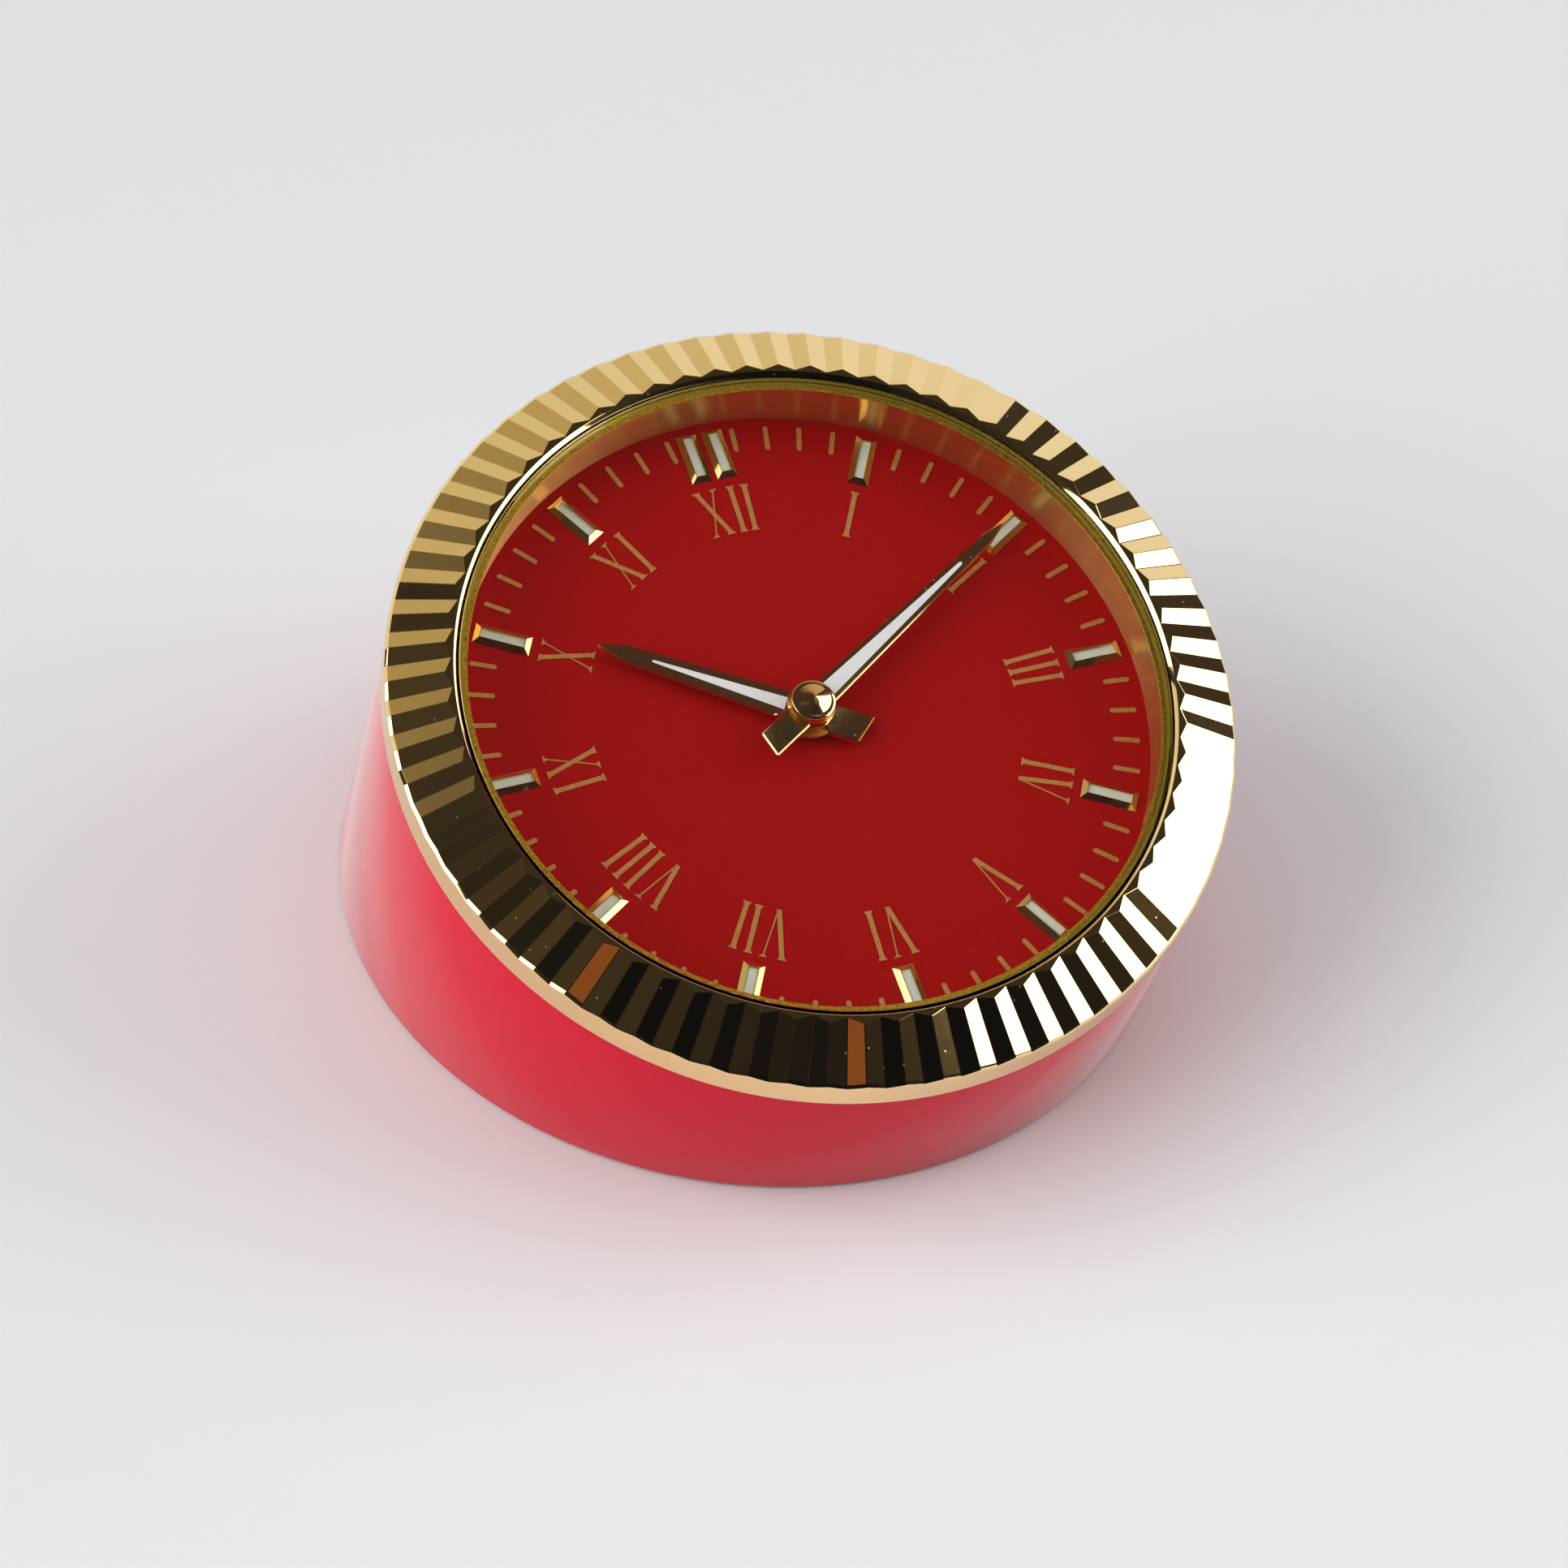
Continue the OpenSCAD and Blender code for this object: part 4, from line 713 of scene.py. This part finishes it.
class WorldLight:
    """The studio as a function of direction: bearing from the back and height above the horizon."""

    def __init__(self, tree):
        self.tree = tree
        coord = self.node("ShaderNodeTexCoord")
        parts = self.node("ShaderNodeSeparateXYZ")
        self.tree.links.new(coord.outputs["Generated"], parts.inputs["Vector"])
        flat = self.math("ARCTAN2", parts.outputs["X"], parts.outputs["Y"])
        self.bearing = self.math("MULTIPLY", flat, 180 / math.pi)
        up = self.math("ARCSINE", parts.outputs["Z"])
        self.height = self.math("MULTIPLY", up, 180 / math.pi)
        self.total = None

    def node(self, kind, **values):
        made = self.tree.nodes.new(kind)
        for key, value in values.items():
            setattr(made, key, value)
        return made

    def math(self, operation, a, b=None):
        made = self.node("ShaderNodeMath", operation=operation)
        for socket, value in zip(made.inputs, (a, b)):
            if value is None:
                continue
            if isinstance(value, (int, float)):
                socket.default_value = value
            else:
                self.tree.links.new(value, socket)
        return made.outputs["Value"]

    def edge(self, value, low, high, a=0.0, b=1.0):
        made = self.node("ShaderNodeMapRange", interpolation_type="SMOOTHSTEP")
        self.tree.links.new(value, made.inputs["Value"])
        for key, v in (("From Min", low), ("From Max", high), ("To Min", a), ("To Max", b)):
            made.inputs[key].default_value = v
        return made.outputs["Result"]

    def inside(self, value, low, high, soft):
        up = self.edge(value, low - soft, low + soft)
        down = self.edge(value, high - soft, high + soft, 1.0, 0.0)
        return self.math("MULTIPLY", up, down)

    def ramp(self, value, low, high, stops):
        """A colour that runs through stops, each a value and a colour, between low and high."""
        made = self.node("ShaderNodeValToRGB")
        el = made.color_ramp.elements
        while len(el) < len(stops):
            el.new(0.5)
        for e, (at, colour) in zip(el, stops):
            e.position = (at - low) / (high - low)
            e.color = (*colour, 1)
        self.tree.links.new(self.share_of(value, low, high), made.inputs["Fac"])
        return made.outputs["Color"]

    def share_of(self, value, low, high):
        made = self.node("ShaderNodeMapRange")
        made.inputs["From Min"].default_value = low
        made.inputs["From Max"].default_value = high
        self.tree.links.new(value, made.inputs["Value"])
        return made.outputs["Result"]

    def patch(self, colour, bearing, height, soft=(0.6, 2.0), strength=1.0):
        """Adds light of one colour, or of a colour output, in a window of bearings and heights."""
        mask = self.math("MULTIPLY", self.inside(self.bearing, *bearing, soft[0]),
                         self.inside(self.height, *height, soft[1]))
        mask = self.math("MULTIPLY", mask, strength)
        made = self.node("ShaderNodeMix", data_type="RGBA", blend_type="MULTIPLY")
        made.inputs[0].default_value = 1.0
        if isinstance(colour, tuple):
            made.inputs[6].default_value = (*colour, 1)
        else:
            self.tree.links.new(colour, made.inputs[6])
        self.tree.links.new(mask, made.inputs[7])
        out = made.outputs[2]
        if self.total is not None:
            add = self.node("ShaderNodeMix", data_type="RGBA", blend_type="ADD")
            add.inputs[0].default_value = 1.0
            self.tree.links.new(self.total, add.inputs[6])
            self.tree.links.new(out, add.inputs[7])
            out = add.outputs[2]
        self.total = out


class CLOCK_OT_stage(Piece):
    """Floor, studio light and camera"""
    bl_idname = "clock.stage"
    bl_label = "Stage"

    def make(self, p, c):
        self.floor(c)
        self.light()
        self.camera()

    def floor(self, c):
        half = 2.5
        mesh = bpy.data.meshes.new("floor")
        mesh.from_pydata([(-half, -half, 0), (half, -half, 0), (half, half, 0), (-half, half, 0)], [],
                         [(0, 1, 2, 3)])
        floor = bpy.data.objects.new("floor", mesh)
        bpy.context.scene.collection.objects.link(floor)
        s = Shade("pale floor")
        parts = s.node("ShaderNodeSeparateXYZ")
        s.link(s.place(), parts.inputs["Vector"])
        # Painted shade: the floor's colour is darkened from the front towards the back, along Y
        back = s.node("ShaderNodeMapRange")
        back.inputs["From Min"].default_value = -0.25
        back.inputs["From Max"].default_value = 0.35
        s.link(parts.outputs["Y"], back.inputs["Value"])
        near = tuple(c.floor)
        far_painted_shade = tuple(np.array(c.floor) * np.array((0.80, 0.81, 0.82)))
        s.link(s.ramp(back.outputs["Result"], [(0.0, near), (1.0, far_painted_shade)]), s.bsdf.inputs["Base Color"])
        s.bsdf.inputs["Roughness"].default_value = 0.9
        s.bsdf.inputs["Specular IOR Level"].default_value = 0.1
        coat_with(floor, s.mat)

    def light(self):
        world = bpy.data.worlds.new("studio")
        bpy.context.scene.world = world
        world.use_nodes = True
        tree = world.node_tree
        w = WorldLight(tree)
        backdrop = w.ramp(w.height, 0, 90, BACKDROP_BY_HEIGHT)
        room = w.ramp(w.bearing, -180, 180, ROOM_BY_BEARING)
        w.patch(room, ALL_ROUND, (-91, 62))
        w.patch(CEILING, ALL_ROUND, (62, 91))
        w.patch(backdrop, (-53, 56.5), (-91, 60))
        # Right and left softbox, a small warm thing behind the camera, and the floor's mirror side
        w.patch(WHITE, (73, 133.5), (-12, 53), strength=3.0)
        w.patch(WHITE, (-108, -58), (6, 44), soft=(1.5, 2.0), strength=3.0)
        w.patch((0.235, 0.083, 0.022), (-166.2, -162.2), (44, 52), soft=(0.3, 0.5))
        w.patch((0.78, 0.79, 0.81), ALL_ROUND, (-91, -1))
        mirrored = w.total
        # Plain light for matt surfaces: a little from everywhere, more from above and from the left
        w.total = None
        w.patch((0.09, 0.09, 0.09), ALL_ROUND, ALL_HEIGHTS)
        w.patch((0.62, 0.625, 0.63), ALL_ROUND, (50, 91), soft=(0.6, 8.0))
        w.patch((4.9, 4.9, 4.84), (-120, -55), (5, 50), soft=(12.0, 8.0))
        path = w.node("ShaderNodeLightPath")
        seen = w.node("ShaderNodeMix", data_type="RGBA")
        tree.links.new(path.outputs["Is Diffuse Ray"], seen.inputs[0])
        tree.links.new(mirrored, seen.inputs[6])
        tree.links.new(w.total, seen.inputs[7])
        behind = w.node("ShaderNodeMix", data_type="RGBA")
        tree.links.new(path.outputs["Is Camera Ray"], behind.inputs[0])
        tree.links.new(seen.outputs[2], behind.inputs[6])
        behind.inputs[7].default_value = (*BEHIND, 1)
        tree.links.new(behind.outputs[2], tree.nodes["Background"].inputs["Color"])
        tree.nodes["Background"].inputs["Strength"].default_value = 1.0

    def camera(self):
        data = bpy.data.cameras.new("camera")
        data.sensor_width = CAMERA_SENSOR
        data.lens = CAMERA_LENS
        data.clip_start = 0.01
        camera = bpy.data.objects.new("camera", data)
        bpy.context.scene.collection.objects.link(camera)
        turn = Euler([math.radians(a) for a in CAMERA_TURN])
        camera.matrix_world = Matrix.LocRotScale(Vector(to_row(CAMERA_PLACE)), turn, None)
        bpy.context.scene.camera = camera


OPERATORS = [CLOCK_OT_drum, CLOCK_OT_bezel, CLOCK_OT_glass, CLOCK_OT_dial, CLOCK_OT_hands,
             CLOCK_OT_details, CLOCK_OT_stage]


class CLOCK_PT_sidebar(bpy.types.Panel):
    bl_idname = "CLOCK_PT_sidebar"
    bl_label = "Desk clock"
    bl_space_type = "VIEW_3D"
    bl_region_type = "UI"
    bl_category = "Clock"

    def draw(self, context):
        for operator in OPERATORS:
            self.layout.operator(operator.bl_idname)
        for group in (context.scene.clock_sizes, context.scene.clock_colours):
            for name in group.bl_rna.properties.keys():
                if name not in ("rna_type", "name"):
                    self.layout.prop(group, name)


def register():
    for cls in (ClockSizes, ClockColours, *OPERATORS, CLOCK_PT_sidebar):
        bpy.utils.register_class(cls)
    bpy.types.Scene.clock_sizes = PointerProperty(type=ClockSizes)
    bpy.types.Scene.clock_colours = PointerProperty(type=ClockColours)


def unregister():
    del bpy.types.Scene.clock_colours
    del bpy.types.Scene.clock_sizes
    for cls in reversed((ClockSizes, ClockColours, *OPERATORS, CLOCK_PT_sidebar)):
        bpy.utils.unregister_class(cls)


def main():
    register()
    for operator in OPERATORS:
        group, name = operator.bl_idname.split(".")
        getattr(getattr(bpy.ops, group), name)()
    scene = bpy.context.scene
    scene.view_settings.view_transform = "Standard"


if __name__ == "__main__":
    main()
